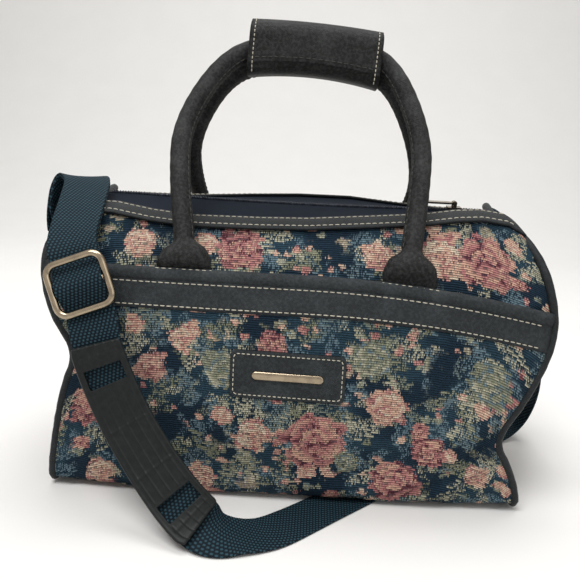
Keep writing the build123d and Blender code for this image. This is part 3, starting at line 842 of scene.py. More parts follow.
def seam_line(shares, side, hump):
    """Middle line of the piping round one end."""
    foot_x = side * seam_half_length * seam_foot_share
    foot_z = piping_radius - piping_flat
    points = [(foot_x, -piping_joint / 2, foot_z), (foot_x, -seam_foot_half_width, foot_z)]
    points += seam_side(shares, side, -1, front_height)
    top_z = (front_height + back_height) / 2 * seam_top_rise_share
    points.append((side * seam_half_length * seam_top_length_share, 0.0, top_z))
    points += reversed(seam_side(shares, side, 1, back_height))
    points += [(foot_x, seam_foot_half_width, foot_z + hump), (foot_x, 0.012, foot_z + hump)]
    points += [(foot_x, 0.004, foot_z), (foot_x, piping_joint / 2, foot_z)]
    return spline_points(points, 12)


seams = {-1: seam_line(left_seam_shares, -1, 0.0), 1: seam_line(right_seam_shares, 1, strap_hump)}


def seam_run(side, facing):
    """Front or back run of a seam, from its foot up."""
    line = seams[side]
    top = int(np.argmax(line[:, 2]))
    return line[: top + 1] if facing < 0 else line[top:][::-1]


def seam_at(side, facing, heights):
    """Place across and along the bag of a seam at some heights."""
    run = seam_run(side, facing)
    rise = np.maximum.accumulate(run[:, 2] + np.arange(len(run)) * 1e-9)
    return np.interp(heights, rise, run[:, 0]), np.interp(heights, rise, run[:, 1])


for side, side_name in ((-1, "left"), (1, "right")):
    line = even_points(seams[side], 0.004)
    wobble = 1.0 + 0.05 * np.sin(np.arange(len(line)) * 1.7) * np.sin(np.arange(len(line)) * 0.31)
    rings = tube_rings(line, (1.0, 0.0, 0.0), piping_radius * wobble, piping_radius * wobble, 12)
    rings[..., 2] = np.maximum(rings[..., 2], 0.0)
    tube_piece(f"{side_name}_piping_cover", rings, "piping", [f"{side_name}_piping"])


# Tapestry panels


def panel_top(facing):
    """Height of the front or back panel's top edge."""
    return (front_height if facing < 0 else back_height) - panel_top_drop


def panel_points(facing, heights, columns, swell):
    """Outer face of a panel, at heights (rows, columns) and places across from -1 to 1."""
    top = panel_top(facing)
    steep = np.maximum(heights, panel_foot_turn)
    left_x, left_y = seam_at(-1, facing, heights)
    right_x, right_y = seam_at(1, facing, heights)
    share = (columns + 1) / 2
    inner = 1 - columns**6
    left_y = left_y * (1 - inner) + seam_at(-1, facing, steep)[1] * inner
    right_y = right_y * (1 - inner) + seam_at(1, facing, steep)[1] * inner
    row = np.clip((heights - panel_foot_height) / (top - panel_foot_height), 0.0, 1.0)
    crown = front_crown if facing < 0 else back_crown
    crown = crown * np.sin(math.pi * np.minimum(row / 0.9, 1.0)) * (1 - columns**2)
    x = (left_x + seam_tuck) * (1 - share) + (right_x - seam_tuck) * share
    y = left_y * (1 - share) + right_y * share + facing * (crown + swell)
    return np.stack([x, y, heights], axis=-1)


def edge_mask(rows, columns):
    """Points held at the edges of a grid."""
    held = np.zeros((rows, columns), bool)
    held[:, 0] = held[:, -1] = True
    held[0] = held[-1] = True
    return held


def flat_uv(points, along, shift):
    """Weave coordinates: distance along the bag and up the panel."""
    climb = np.cumsum(np.linalg.norm(np.diff(points, axis=0, prepend=points[:1]), axis=-1), axis=0)
    return np.stack([points[..., along] + shift[0], climb + shift[1]], axis=-1).reshape(-1, 2)


def edge_rise(facing, x):
    """How far the bag's front or back top edge stands above its straight line."""
    return np.interp(x, *edge_rises[facing])


# Places along the bag, and the heights there of its front and back top edges over a straight line
edge_rises = {
    -1: (
        [-0.150, -0.120, -0.087, -0.030, 0.010, 0.067, 0.103, 0.130, 0.150, 0.170, 0.185],
        [0.0050, 0.0, -0.0030, -0.0022, -0.0008, 0.0042, 0.0075, 0.0120, 0.0135, 0.0110, 0.0030],
    ),
    1: (
        [-0.175, -0.130, -0.090, -0.045, 0.000, 0.048, 0.095, 0.130, 0.175],
        [-0.008, -0.006, -0.003, 0.0005, 0.003, 0.0032, -0.001, -0.004, -0.008],
    ),
}
panel_rows, panel_columns = 70, 110
columns = np.broadcast_to(np.linspace(-1.0, 1.0, panel_columns), (panel_rows, panel_columns))


def body_panel(facing, name, node, shift):
    """Front or back panel, settled between its seams."""
    top = panel_top(facing)
    heights = np.broadcast_to(np.linspace(panel_foot_height, top, panel_rows)[:, None], columns.shape)
    points = panel_points(facing, heights, columns, 0.0)
    held = edge_mask(panel_rows, panel_columns)
    if facing < 0:
        points[..., 2] += edge_rise(facing, points[..., 0]) * np.clip((heights - 0.19) / 0.03, 0.0, 1.0)
        held |= heights < pocket_mouth_height - band_width
    points = settle(points, held, -facing * 1.5, 0.010, 0.004)
    weave = "front_tapestry" if facing < 0 else "tapestry"
    piece = grid_piece(name, points, weave, "tapestry", [node], flat_uv(points, 0, shift), facing > 0)
    thicken(piece, panel_thickness)
    return points


front_points = body_panel(-1, "front_cloth", "front_panel", (0.40, 0.05))
back_points = body_panel(1, "back_cloth", "back_panel", (1.30, 0.45))


def end_cloth(side, name, node, shift):
    """End panel, caved in below and settled inside its piping."""
    rows, across = 60, 60
    place = np.broadcast_to(np.linspace(-1.0, 1.0, across), (rows, across))
    row = np.broadcast_to(np.linspace(0.0, 1.0, rows)[:, None], (rows, across))
    foot = piping_radius
    top = float(seams[side][:, 2].max()) - end_top_drop
    front_z = foot + row * (min(front_height * end_top_share, top) - foot)
    back_z = foot + row * (min(back_height * end_top_share, top) - foot)
    front_x, front_y = seam_at(side, -1, front_z)
    back_x, back_y = seam_at(side, 1, back_z)
    share = (place + 1) / 2
    wave = np.sin(math.pi * row)
    middle = 1 - place**2
    swell = ((end_crown + end_cave) * wave**2 - end_cave * wave) * middle
    points = np.stack(
        [
            front_x * (1 - share) + back_x * share + side * swell,
            (front_y + seam_tuck) * (1 - share) + (back_y - seam_tuck) * share,
            front_z * (1 - share) + back_z * share + end_top_lift * middle * row**6,
        ],
        axis=-1,
    )
    points = settle(points, edge_mask(rows, across), side * 0.6, 0.012, 0.004)
    piece = grid_piece(name, points, "tapestry", "tapestry", [node], flat_uv(points, 1, shift), side < 0)
    thicken(piece, panel_thickness)


end_cloth(-1, "left_end_cloth", "left_end_panel", (2.10, 0.20))
end_cloth(1, "right_end_cloth", "right_end_panel", (3.20, 0.33))


def base_cloth():
    """Base between the feet of the front and back panels."""
    share = np.linspace(0.0, 1.0, 24)[:, None, None]
    points = front_points[0] * (1 - share) + back_points[0] * share
    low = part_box("base_panel")[0].z
    inside = np.minimum(1.0, 8 * share[..., 0] * (1 - share[..., 0]))
    points[..., 2] = points[..., 2] * (1 - inside) + low * inside
    uv = flat_uv(points, 0, (4.1, 0.2))
    piece = grid_piece("base_cloth", points, "tapestry", "tapestry", ["base_panel"], uv, True)
    thicken(piece, panel_thickness)


base_cloth()


# Front pocket


def mouth_at(x):
    """Height of the pocket's mouth."""
    drop = pocket_mouth_drop * np.maximum(0.0, x / seam_half_length) ** mouth_drop_power
    return pocket_mouth_height - drop + 0.0015


def pocket_points(heights, columns, proud):
    """Points on the pocket, proud of its inner face."""
    rise = (heights - panel_foot_height) / (pocket_mouth_height - panel_foot_height)
    swell = np.sin(math.pi / 2 * np.clip(rise / 0.5, 0.0, 1.0))
    gap = pocket_gap + pocket_swell * swell * (1 - columns**4)
    return panel_points(-1, heights, columns * pocket_length_share, gap + proud)


def crease(x, z):
    """Depth of the creases that run from the caved in ends into the pocket."""
    depth = np.zeros_like(x)
    for start, end, deep, wide in pocket_creases:
        start, end = np.array(start), np.array(end)
        run = end - start
        along = np.clip(((x - start[0]) * run[0] + (z - start[1]) * run[1]) / run.dot(run), 0.0, 1.0)
        off = np.hypot(x - start[0] - along * run[0], z - start[1] - along * run[1])
        depth += deep * np.exp(-((off / wide) ** 2)) * (1 - along**2)
    return depth


def pocket_cloth():
    """Tapestry pocket, settled below its band."""
    rows = 90
    column = np.broadcast_to(np.linspace(-1.0, 1.0, panel_columns), (rows, panel_columns))
    share = np.broadcast_to(np.linspace(0.0, 1.0, rows)[:, None], column.shape)
    mouth = mouth_at(column * seam_half_length) - 0.003
    heights = panel_foot_height + share * (mouth - panel_foot_height)
    points = pocket_points(heights, column, panel_thickness)
    fade = (1 - column**8) * np.clip((mouth - heights - band_width) / 0.03, 0.0, 1.0)
    points[..., 1] += crease(points[..., 0], heights) * fade
    held = edge_mask(rows, panel_columns) | (mouth - heights < band_width + 0.002)
    points = settle(points, held, 2.0, 0.012, 0.0035)
    uv = flat_uv(points, 0, (0.40, 0.05))
    piece = grid_piece("pocket_cloth", points, "front_tapestry", "tapestry", ["pocket_panel"], uv)
    thicken(piece, panel_thickness)
    return points


pocket_skin = pocket_cloth()
pocket_tree = BVHTree.FromPolygons(
    [tuple(p) for p in pocket_skin.reshape(-1, 3)], grid_faces(*pocket_skin.shape[:2])
)


def band_rows(depths, proud, columns=140):
    """Rows of points that follow the mouth at some depths below it."""
    column = np.broadcast_to(np.linspace(-1.0, 1.0, columns), (len(depths), columns))
    heights = mouth_at(column * seam_half_length) - np.asarray(depths)[:, None]
    proud = np.broadcast_to(np.asarray(proud), (len(depths),))[:, None]
    base = panel_thickness + 0.0007
    return pocket_points(heights, column, proud - (proud - base) * np.abs(column) ** 24)


def pocket_band():
    """Leatherette band along the mouth, with its stitched lower edge and rolled top."""
    foot = band_width + band_hem
    depths = np.linspace(0.0040, foot, 12)
    edge = np.clip((foot - depths) / 0.002, 0.0, 1.0)
    points = band_rows(depths, panel_thickness + band_seat + band_thickness * (0.5 + 0.5 * edge))
    piece = grid_piece("mouth_band", points, "band", "leatherette", ["pocket_band"], None, True)
    thicken(piece, band_thickness)
    proud = panel_thickness + binding_seat
    line = band_rows([binding_half_height + 0.0002], proud)[0]
    above = band_rows([binding_half_height - 0.0008], proud)[0]
    out = unit(np.cross(np.gradient(line, axis=0), above - line))
    ripple = 1.0 + 0.05 * np.sin(np.arange(len(line)) * 0.9) * np.sin(np.arange(len(line)) * 0.23)
    rings = tube_rings(line, out, binding_half_height * ripple, binding_half_thickness * ripple, 18)
    tube_piece("mouth_binding", rings, "band", ["pocket_binding"])
    top_row, foot_row = 2 * binding_half_height + band_stitch_inset, band_width - band_stitch_inset
    for name, depth in (("binding_stitches", top_row), ("band_stitches", foot_row)):
        row = band_rows([depth], panel_thickness + band_thickness + band_seat)[0][3:-3]
        stitches(name, row, (0.0, -1.0, 0.1))
    row = band_rows([band_stitch_inset], proud + binding_half_thickness * 0.55, 400)[0]
    for name, start, end in (("left_foot_stitches", -0.108, -0.060), ("right_foot_stitches", 0.066, 0.114)):
        stitches(name, row[(row[:, 0] > start) & (row[:, 0] < end)], (0.0, -0.8, 0.6))


pocket_band()


def rounded_loop(half_width, half_height, corner, step=0.0012):
    """Outline of a rectangle with round corners, as points in its plane."""
    corners = []
    for turn, (sx, sz) in enumerate(((1, -1), (1, 1), (-1, 1), (-1, -1))):
        centre = np.array([sx * (half_width - corner), sz * (half_height - corner)])
        angle = math.pi / 2 * (turn - 1 + np.linspace(0.0, 1.0, 7))
        corners.append(centre + corner * np.stack([np.cos(angle), np.sin(angle)], axis=1))
    return closed_points(np.concatenate(corners), step=step)


def patch_face():
    """Smooth depth of the pocket behind the patch, just proud of it everywhere."""
    places = [(x, z) for x in np.linspace(-0.046, 0.046, 25) for z in np.linspace(-0.020, 0.020, 13)]
    rows, depths = [], []
    for x, z in places:
        hit = pocket_tree.ray_cast(Vector((x, -0.3, patch_height + z)), Vector((0.0, 1.0, 0.0)))[0]
        rows.append((1.0, x, z, x * x, x * z, z * z))
        depths.append(hit.y)
    fit = np.linalg.lstsq(np.array(rows), np.array(depths), rcond=None)[0]
    over = float(np.max(np.array(rows) @ fit - np.array(depths)))

    def depth(x, z):
        terms = np.stack([np.ones_like(x), x, z, x * x, x * z, z * z], axis=-1)
        return terms @ fit - over

    return depth


patch_depth = patch_face()


def plate(name, half_width, half_height, corner, base, thickness, round_edge, material, stands_for=()):
    """Thin plate with a soft edge that follows the pocket behind the patch."""
    top = base + thickness
    profile = [(0.0, base - 0.0006), (0.0, top - round_edge), (0.3, top - 0.3 * round_edge)]
    profile += [(1.0, top), (3.0, top)]
    edge = rounded_loop(half_width, half_height, corner)
    loops = []
    for inset, proud in profile:
        shrink = inset * round_edge
        loop = edge * np.array([(half_width - shrink) / half_width, (half_height - shrink) / half_height])
        loops.append((loop, proud))
    inner = loops[-1][0]
    loops += [(inner * share, top) for share in (0.75, 0.5, 0.25, 0.02)]
    rings = []
    for loop, proud in loops:
        x, z = loop[:, 0], loop[:, 1] - loop[:, 0] * patch_slant
        rings.append(np.stack([x, patch_depth(x, z) - proud, patch_height + z], axis=1))
    faces = [face[::-1] for face in ring_faces(len(rings), len(inner))]
    make_piece(name, np.concatenate(rings), faces, material, stands_for)


plate(
    "pocket_patch", patch_half_width, patch_half_height, patch_corner, 0.0, patch_thickness, patch_round,
    "band", ["label_patch"],
)
plate(
    "blank_bar", bar_half_width, bar_half_height, bar_half_height * 0.98, patch_thickness, bar_thickness,
    bar_round, "metal",
)
outline = rounded_loop(patch_half_width - 0.0028, patch_half_height - 0.0028, patch_corner - 0.0015, 0.0006)
outline = np.concatenate([outline, outline[:1]])
patch_x, patch_z = outline[:, 0], outline[:, 1] - outline[:, 0] * patch_slant
patch_y = patch_depth(patch_x, patch_z) - patch_thickness
patch_line = np.stack([patch_x, patch_y, patch_height + patch_z], axis=1)
stitches("patch_stitches", patch_line, (0.0, -1.0, 0.05), length=0.0028)


# Zipper


def zip_place(y, z):
    """Depth and height of a point in the zipper's leaning frame."""
    cos, sin = math.cos(zip_tilt), math.sin(zip_tilt)
    return y * cos - z * sin, zip_height + y * sin + z * cos


def seam_end(side, y):
    """How far along the bag its top reaches at a depth."""
    run = seam_run(side, -1 if y < 0 else 1)
    upper = run[run[:, 2] > 0.8 * run[:, 2].max()]
    order = np.argsort(np.abs(upper[:, 1]))
    return float(np.interp(abs(y), np.abs(upper[order, 1]), upper[order, 0])) - side * seam_tuck


def coil_sag(x):
    """How far the closed chain hangs between its ends."""
    return zip_sag * np.maximum(0.0, 1 - (np.asarray(x) / sag_half_length) ** 2)


def top_strip(name, facing, flip, edge_rows, finish, node, thickness):
    """Strip along the top through rows given as (depth, height, share of the rise, share of the sag)."""
    rows = []
    columns = np.linspace(0.0, 1.0, 150)
    for y, z, rise, sag in edge_rows:
        x = seam_end(-1, y) * (1 - columns) + seam_end(1, y) * columns
        height = z + edge_rise(facing, x) * rise - coil_sag(x) * sag
        rows.append(np.stack([x, np.full_like(x, y), height], axis=1))
    points = np.stack(rows)
    piece = grid_piece(name, points, *finish, [node], None, flip)
    thicken(piece, thickness)
    return points


def facing_strip(facing, name, node):
    """Leatherette strip on the panel's top edge, with two rows of stitches."""
    top = panel_top(facing)
    edge_y = float(seam_at(1, facing, np.array([top]))[1][0]) + facing * facing_edge_out
    lip_y, lip_z = facing * facing_lip_depth, facing_lip_height + (0.0 if facing < 0 else back_lip_rise)
    rows = []
    for share in np.linspace(0.0, 1.0, 12):
        bow = strip_bow * math.sin(math.pi * share)
        z = (top + 0.0010) * (1 - share) + lip_z * share + bow
        rows.append((edge_y * (1 - share) + lip_y * share, z, 1.0 if facing < 0 else share, 0.0))
    finish = ("piping", "leatherette")
    points = top_strip(name, facing, facing > 0, rows, finish, node, facing_thickness)
    for row, label in ((2, "low"), (9, "high")):
        line = points[row][3:-3]
        out = np.cross(points[row + 1][3:-3] - line, np.gradient(line, axis=0))
        out = unit(out * np.sign(out[:, 2:]))
        stitches(f"{name}_{label}_stitches", line, out)
    return lip_y, lip_z


for facing, side_name in ((-1, "front"), (1, "back")):
    lip_y, lip_z = facing_strip(facing, f"{side_name}_facing", f"zip_facing_{side_name}")
    near_y, near_z = zip_place(facing * tape_gap, tape_thickness / 2)
    rows = []
    for share in np.linspace(0.0, 1.0, 12):
        z = near_z * (1 - share) + (lip_z - tape_drop) * share - strip_bow * math.sin(math.pi * share)
        rows.append((near_y * (1 - share) + (lip_y + facing * tape_tuck) * share, z, share**2, (1 - share) ** 2))
    finish = ("zip_tape", "zip_tape")
    node = f"zipper_tape_{side_name}"
    top_strip(f"{side_name}_tape", facing, facing < 0, rows, finish, node, tape_thickness)


def zipper_teeth():
    """Closed chain of small loops, one side set half a step from the other."""
    verts, faces = [], []
    sides = 8
    count = int(2 * zip_half_length / tooth_pitch) - 2
    angle = turns(sides)
    stations = [(-0.0021, 0.35), (-0.0016, 0.8), (0.0, 1.0), (0.0014, 0.9), (0.0020, 0.45)]
    pattern = ring_faces(len(stations), sides)
    for facing in (-1, 1):
        for number in range(count):
            x = -zip_half_length + tooth_pitch * (number + 1.0 + 0.25 * facing)
            base = len(verts)
            for reach, size in stations:
                across = facing * (tooth_offset - reach * 0.6)
                ring_x = x + tooth_half_width * size * np.cos(angle)
                y, z = zip_place(across, tooth_rise + tooth_half_height * size * np.sin(angle))
                verts.extend(np.stack([ring_x, np.broadcast_to(y, ring_x.shape), z - coil_sag(x)], axis=1))
            faces += shifted([face[::facing] for face in pattern], base)
    make_piece("zipper_teeth", verts, faces, "zip_coil", ["zipper_coil"])


zipper_teeth()


# Handles


def sewn_depth(height, facing, half_thickness):
    """Depth of the middle of a thing that lies on a panel where the handles are sewn."""
    step = 0.002
    here, above = panel_points(facing, np.array([height, height + step]), np.full(2, foot_column), 0.0)[:, 1]
    return float(here + facing * (sewn_gap + half_thickness) * math.hypot(1.0, (above - here) / step))


def handle(facing, top_height, name, node):
    """Rolled handle with a stitched edge along its inner side and flared feet."""
    rise = top_height - handle_foot_height
    shares = handle_arch_shares if facing < 0 else rear_arch_shares
    first = shares[0][1]
    ankle_z = handle_foot_height + rise * first
    foot_y = sewn_depth(ankle_z, facing, handle_radius)
    lean = facing * handle_top_offset - foot_y
    arch = []
    for across, up in shares:
        share = min(1.0, (up - first) / (handle_lean_share - first))
        arch.append((across * handle_half_span, foot_y + lean * share, handle_foot_height + rise * up))
    sole_z = handle_foot_height - foot_tuck
    instep_z = handle_foot_height + instep_rise
    feet = []
    for end in (0, -1):
        x = arch[end][0]
        sole = (x, sewn_depth(sole_z, facing, foot_half_thickness), sole_z)
        instep = (x, sewn_depth(instep_z, facing, instep_half_thickness), instep_z)
        feet.append([sole, instep])
    control = feet[0] + arch + feet[1][::-1]
    line = even_points(spline_points(control, 14), handle_step)
    above = np.clip((line[:, 2] - handle_foot_height - foot_rises[-1]) / 0.003, 0.0, 1.0)
    half_across = np.interp(line[:, 2] - handle_foot_height, foot_rises, foot_widths)
    half_out = np.interp(line[:, 2] - handle_foot_height, foot_rises, foot_thicknesses)
    normal = facing * unit(np.array([0.0, rise, -lean]))
    sides = 20
    angle = turns(sides)
    _, across, out = side_frames(line, normal)
    middle = len(line) // 2
    inward = 1.0 if (np.array([0.0, foot_y, 0.0]) - line[middle]).dot(across[middle]) > 0 else -1.0
    from_seam = np.angle(np.exp(1j * (angle - (0.0 if inward > 0 else math.pi))))
    seam = np.exp(-((from_seam / handle_ridge_reach) ** 2))
    ridge = 1.0 + handle_ridge * seam[None, :] * above[:, None]
    wrinkle = 1.0 + handle_wrinkle * np.sin(np.arange(len(line)) * 0.98)[:, None] * np.cos(angle + 0.6)[None, :]
    wide = half_across[:, None] * np.cos(angle)[None, :] * ridge * wrinkle
    high = half_out[:, None] * np.sin(angle)[None, :] * wrinkle
    rings = line[:, None] + across[:, None] * wide[..., None] + out[:, None] * high[..., None]
    piece = tube_piece(name, rings, "leatherette", [node, f"{node}_core"])
    straight = line[:, 2] - handle_foot_height > foot_rises[-1]
    for way, label in ((1, "outer"), (-1, "inner")):
        seat = line + across * (inward * half_across * 0.95)[:, None] + out * (way * half_out * 0.40)[:, None]
        lift = out * way + across * inward
        stitches(f"{name}_{label}_stitches", seat[straight], lift[straight], "dim_thread")


handle(-1, front_handle_height, "front_roll", "front_handle")
handle(1, rear_handle_height, "rear_roll", "rear_handle")


def wrap_loop(inset, corner, count=72):
    """Section of the grip as (depth, height), from the middle of its foot round by its front."""
    loop = rounded_loop(wrap_half_depth - inset, wrap_half_height - inset, corner, 0.0008)
    start = int(np.argmin(np.abs(loop[:, 0]) + (loop[:, 1] > 0)))
    return closed_points(np.roll(loop, -start, axis=0)[::-1], count=count)


def grip_place(along, section):
    """Points of the grip at some places along it and a section."""
    x = np.asarray(along)
    place = np.zeros((len(x), len(section), 3))
    share = np.clip(section[None, :, 1] / wrap_half_height, -1.0, 1.0) / 2 + 0.5
    droop = (x[:, None] / (wrap_length / 2)) ** 2
    place[..., 0] = x[:, None]
    place[..., 1] = section[None, :, 0]
    place[..., 2] = section[None, :, 1] - droop * (wrap_top_arch * share + wrap_foot_arch * (1 - share))
    cos, sin = math.cos(wrap_slope), math.sin(wrap_slope)
    turned = place.copy()
    turned[..., 0] = place[..., 0] * cos + place[..., 2] * sin + wrap_centre.x
    turned[..., 2] = -place[..., 0] * sin + place[..., 2] * cos + wrap_centre.z
    turned[..., 1] = place[..., 1] + wrap_centre.y
    return turned


def grip():
    """Leatherette sleeve round both handles with an overlapping flap."""
    half = wrap_length / 2
    x = np.linspace(-half, half, 46)
    outer = wrap_loop(0.0008, 0.0125)
    inner = wrap_loop(wrap_wall, 0.0105)
    soft = wrap_loop(0.0014, 0.012)
    rings = [grip_place([-half + wrap_lip], inner), grip_place([-half - 0.0002], soft)]
    rings += [grip_place([place], outer) for place in x]
    rings += [grip_place([half + 0.0002], soft), grip_place([half - wrap_lip], inner)]
    rings += [grip_place([place], inner) for place in x[::-1]]
    rings.append(grip_place([-half + wrap_lip], inner))
    verts = np.concatenate([ring[0] for ring in rings])
    faces = ring_faces(len(rings), len(outer))[:-2]
    sleeve = make_piece("grip_sleeve", verts, faces, "leatherette", ["handle_wrap"])
    section = wrap_loop(-wrap_lip, 0.0133, 160)
    in_front = section[:, 0] < -wrap_half_depth * 0.9
    lowest = int(np.argmax(in_front & (section[:, 1] > -wrap_half_height + flap_foot_rise)))
    flap = section[lowest : lowest + 95]
    tapered = np.linspace(-half + 0.0005, half - 0.0005, 46)
    points = grip_place(tapered, flap).transpose(1, 0, 2)
    cover = grid_piece("grip_flap", points, "leatherette", "leatherette")
    thicken(cover, flap_thickness)
    line = grip_place(tapered[2:-2], section[lowest + 4 : lowest + 5])[:, 0]
    stitches("flap_stitches", line, (0.0, -1.0, 0.0), "dim_thread")
    for place, label in ((-half + wrap_stitch_inset, "left"), (half - wrap_stitch_inset, "right")):
        line = grip_place([place], section[lowest - 9 : lowest + 92])[0]
        out = line - line.mean(axis=0)
        out[:, 0] = 0.0
        stitches(f"grip_{label}_stitches", line, out, length=0.0024)


grip()


# Tabs that hold the rings


def soft_copy(node, name):
    """Copy of a solid with soft edges."""
    source = bpy.data.objects.new("soft", nodes[node].data.copy())
    scene.collection.objects.link(source)
    remesh = source.modifiers.new("remesh", "REMESH")
    remesh.mode = "VOXEL"
    remesh.voxel_size = tab_voxel
    smooth = source.modifiers.new("smooth", "SMOOTH")
    smooth.factor = 0.5
    smooth.iterations = 4
    held = source.evaluated_get(bpy.context.evaluated_depsgraph_get())
    verts = [tuple(vertex.co) for vertex in held.data.vertices]
    faces = [tuple(polygon.vertices) for polygon in held.data.polygons]
    bpy.data.objects.remove(source)
    make_piece(name, verts, faces, "leatherette", [node])
    return BVHTree.FromPolygons(verts, faces)


for side, side_name in ((-1, "left"), (1, "right")):
    node = f"{side_name}_ring_tab"
    tab_tree = soft_copy(node, f"{side_name}_tab_cover")
    low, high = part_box(node)
    near_y, far_y = low.y + tab_stitch_inset, high.y - tab_stitch_inset
    foot_z, top_z = low.z + tab_stitch_inset, high.z - tab_stitch_drop
    corners = [(near_y, top_z), (near_y, foot_z), (far_y, foot_z), (far_y, top_z)]
    line = []
    for (y0, z0), (y1, z1) in zip(corners, corners[1:]):
        for share in np.linspace(0.0, 1.0, 12, endpoint=False):
            start = Vector((side * 0.4, y0 + (y1 - y0) * share, z0 + (z1 - z0) * share))
            hit = tab_tree.ray_cast(start, Vector((-side, 0.0, 0.0)))[0]
            if hit is not None:
                line.append(hit[:])
    stitches(f"{side_name}_tab_stitches", np.array(line), (side, 0.0, 0.0))


# Shoulder strap

strap_route = [
    ((-0.2178, 0.0015, 0.2190), (0.15, 0.99, 0.0)),
    ((-0.2135, 0.0080, 0.2325), (0.50, 0.86, -0.05)),
    ((-0.2050, 0.0120, 0.2450), (0.80, 0.59, -0.1)),
    ((-0.1940, 0.0040, 0.2520), (0.95, 0.30, 0.0)),
    ((-0.1830, -0.0160, 0.2505), (0.985, 0.17, 0.0)),
    ((-0.1780, -0.0420, 0.2400), (0.98, 0.17, 0.1)),
    ((-0.1740, -0.0700, 0.2260), (0.97, 0.17, 0.15)),
    ((-0.1715, -0.0962, 0.2086), (0.95, 0.15, 0.27)),
    ((-0.1636, -0.1062, 0.1890), (0.93, 0.05, 0.36)),
    ((-0.1591, -0.1161, 0.1786), (0.93, 0.05, 0.36)),
    ((-0.1542, -0.1117, 0.1655), (0.93, 0.05, 0.36)),
    ((-0.1490, -0.1159, 0.1526), (0.93, 0.05, 0.36)),
    ((-0.1450, -0.1195, 0.1350), (0.93, 0.05, 0.37)),
    ((-0.1360, -0.1230, 0.1120), (0.92, 0.08, 0.39)),
    ((-0.1210, -0.1290, 0.0830), (0.90, 0.10, 0.43)),
    ((-0.1070, -0.1360, 0.0640), (0.91, 0.10, 0.41)),
    ((-0.0920, -0.1440, 0.0460), (0.92, 0.11, 0.39)),
    ((-0.0740, -0.1535, 0.0280), (0.94, 0.14, 0.3)),
    ((-0.0570, -0.1615, 0.0145), (0.95, 0.25, 0.15)),
    ((-0.0440, -0.1630, 0.0098), (0.10, 0.88, 0.4)),
    ((-0.0310, -0.1575, 0.0062), (-0.32, 0.93, 0.16)),
    ((-0.0190, -0.1530, 0.0038), (-0.42, 0.90, 0.1)),
    ((-0.0060, -0.1460, 0.0026), (-0.62, 0.78, 0.07)),
    ((0.0140, -0.1260, 0.0014), (-0.70, 0.71, 0.02)),
    ((0.0400, -0.1000, 0.0010), (-0.69, 0.72, 0.0)),
    ((0.0750, -0.0660, 0.0010), (-0.69, 0.72, 0.0)),
    ((0.1120, -0.0320, 0.0010), (-0.67, 0.74, 0.0)),
    ((0.1500, 0.0020, 0.0010), (-0.67, 0.74, 0.0)),
    ((0.1860, 0.0350, 0.0010), (-0.66, 0.75, 0.0)),
    ((0.2060, 0.0530, 0.0011), (-0.65, 0.76, 0.0)),
    ((0.2240, 0.0650, 0.0070), (-0.58, 0.81, 0.05)),
    ((0.2370, 0.0690, 0.0200), (-0.45, 0.88, 0.1)),
    ((0.2430, 0.0630, 0.0390), (-0.30, 0.94, 0.15)),
    ((0.2430, 0.0460, 0.0660), (-0.15, 0.97, 0.2)),
    ((0.2370, 0.0270, 0.0960), (-0.05, 0.98, 0.2)),
    ((0.2300, 0.0110, 0.1250), (0.0, 0.99, 0.1)),
    ((0.2235, 0.0020, 0.1480), (0.0, 1.0, 0.0)),
]
bar_place = 9
pad_ends = (12, 18)
pad_windows = (13, 17)
last_place = len(strap_route) - 1
left_bar = np.array([-0.21474, 0.0, 0.20493])
right_bar = np.array([0.21770, 0.0, 0.17499])
adjuster_bar = (-0.1590, -0.1130, 0.1780)
adjuster_across = (0.93, 0.05, 0.36)
adjuster_out = (-0.025, -0.975, 0.2)
adjuster_half_width = 0.0220
adjuster_half_length = 0.0200
adjuster_corner = 0.0085
adjuster_half_band = 0.0027
adjuster_half_thickness = 0.0026
turn_radius = 0.0045
layer_gap = 0.0028


def bar_turn(bar, angles):
    """Points of the strap round a ring's outer bar, seen along Y."""
    points = []
    for angle in angles:
        turn = math.radians(angle)
        point = bar + turn_radius * np.array([math.cos(turn), 0.0, math.sin(turn)])
        points.append((tuple(point), (0.0, 1.0, 0.0)))
    return points


def layer_points(places, way):
    """Second layer of webbing beside the first at some points of the route."""
    points = []
    for place in places:
        here, across = (np.array(value) for value in strap_route[place])
        before = np.array(strap_route[max(place - 1, 0)][0])
        after = np.array(strap_route[min(place + 1, last_place)][0])
        run = unit(after - before)
        width = unit(across - run * across.dot(run))
        points.append((tuple(here + np.cross(run, width) * way * layer_gap), strap_route[place][1]))
    return points


def ribbon_frame(route):
    """Middle line of a ribbon with its width and face directions, read from two splines."""
    centres = [point for point, _ in route]
    edges = [tuple(np.array(point) + strap_half_width * np.array(width)) for point, width in route]
    middle = spline_points(centres, 12)
    side = spline_points(edges, 12)
    line, edge = even_points(middle, ribbon_step, side)
    along = unit(np.gradient(line, axis=0))
    width = edge - line
    width = unit(width - along * (width * along).sum(axis=1, keepdims=True))
    return line, width, np.cross(along, width)


def ribbon(name, line, width, face, lift, stands_for=()):
    """Flat webbing with thick round edges along a line."""
    shares = np.array([-1.0, -0.97, -0.85, -0.6, -0.3, 0.0, 0.3, 0.6, 0.85, 0.97, 1.0])
    rim = np.array([0.35, 0.9, 1.0, 0.95, 0.95, 0.95, 0.95, 0.95, 1.0, 0.9, 0.35])
    across = np.concatenate([shares, shares[::-1]])
    thick = np.concatenate([rim, -rim[::-1]]) * strap_half_thickness
    cup = -0.0009 * (1 - across**2)
    rings = line[:, None] + width[:, None] * (across * strap_half_width)[None, :, None]
    rings = rings + face[:, None] * (thick[None, :] + cup[None, :] + lift[:, None])[..., None]
    rings[..., 2] = np.maximum(rings[..., 2], 0.0001)
    runs = run_lengths(line)
    turn = across * strap_half_width
    uv = np.stack(np.broadcast_arrays(turn[None, :], runs[:, None]), axis=-1).reshape(-1, 2)
    return tube_piece(name, rings, "webbing", stands_for, uv)


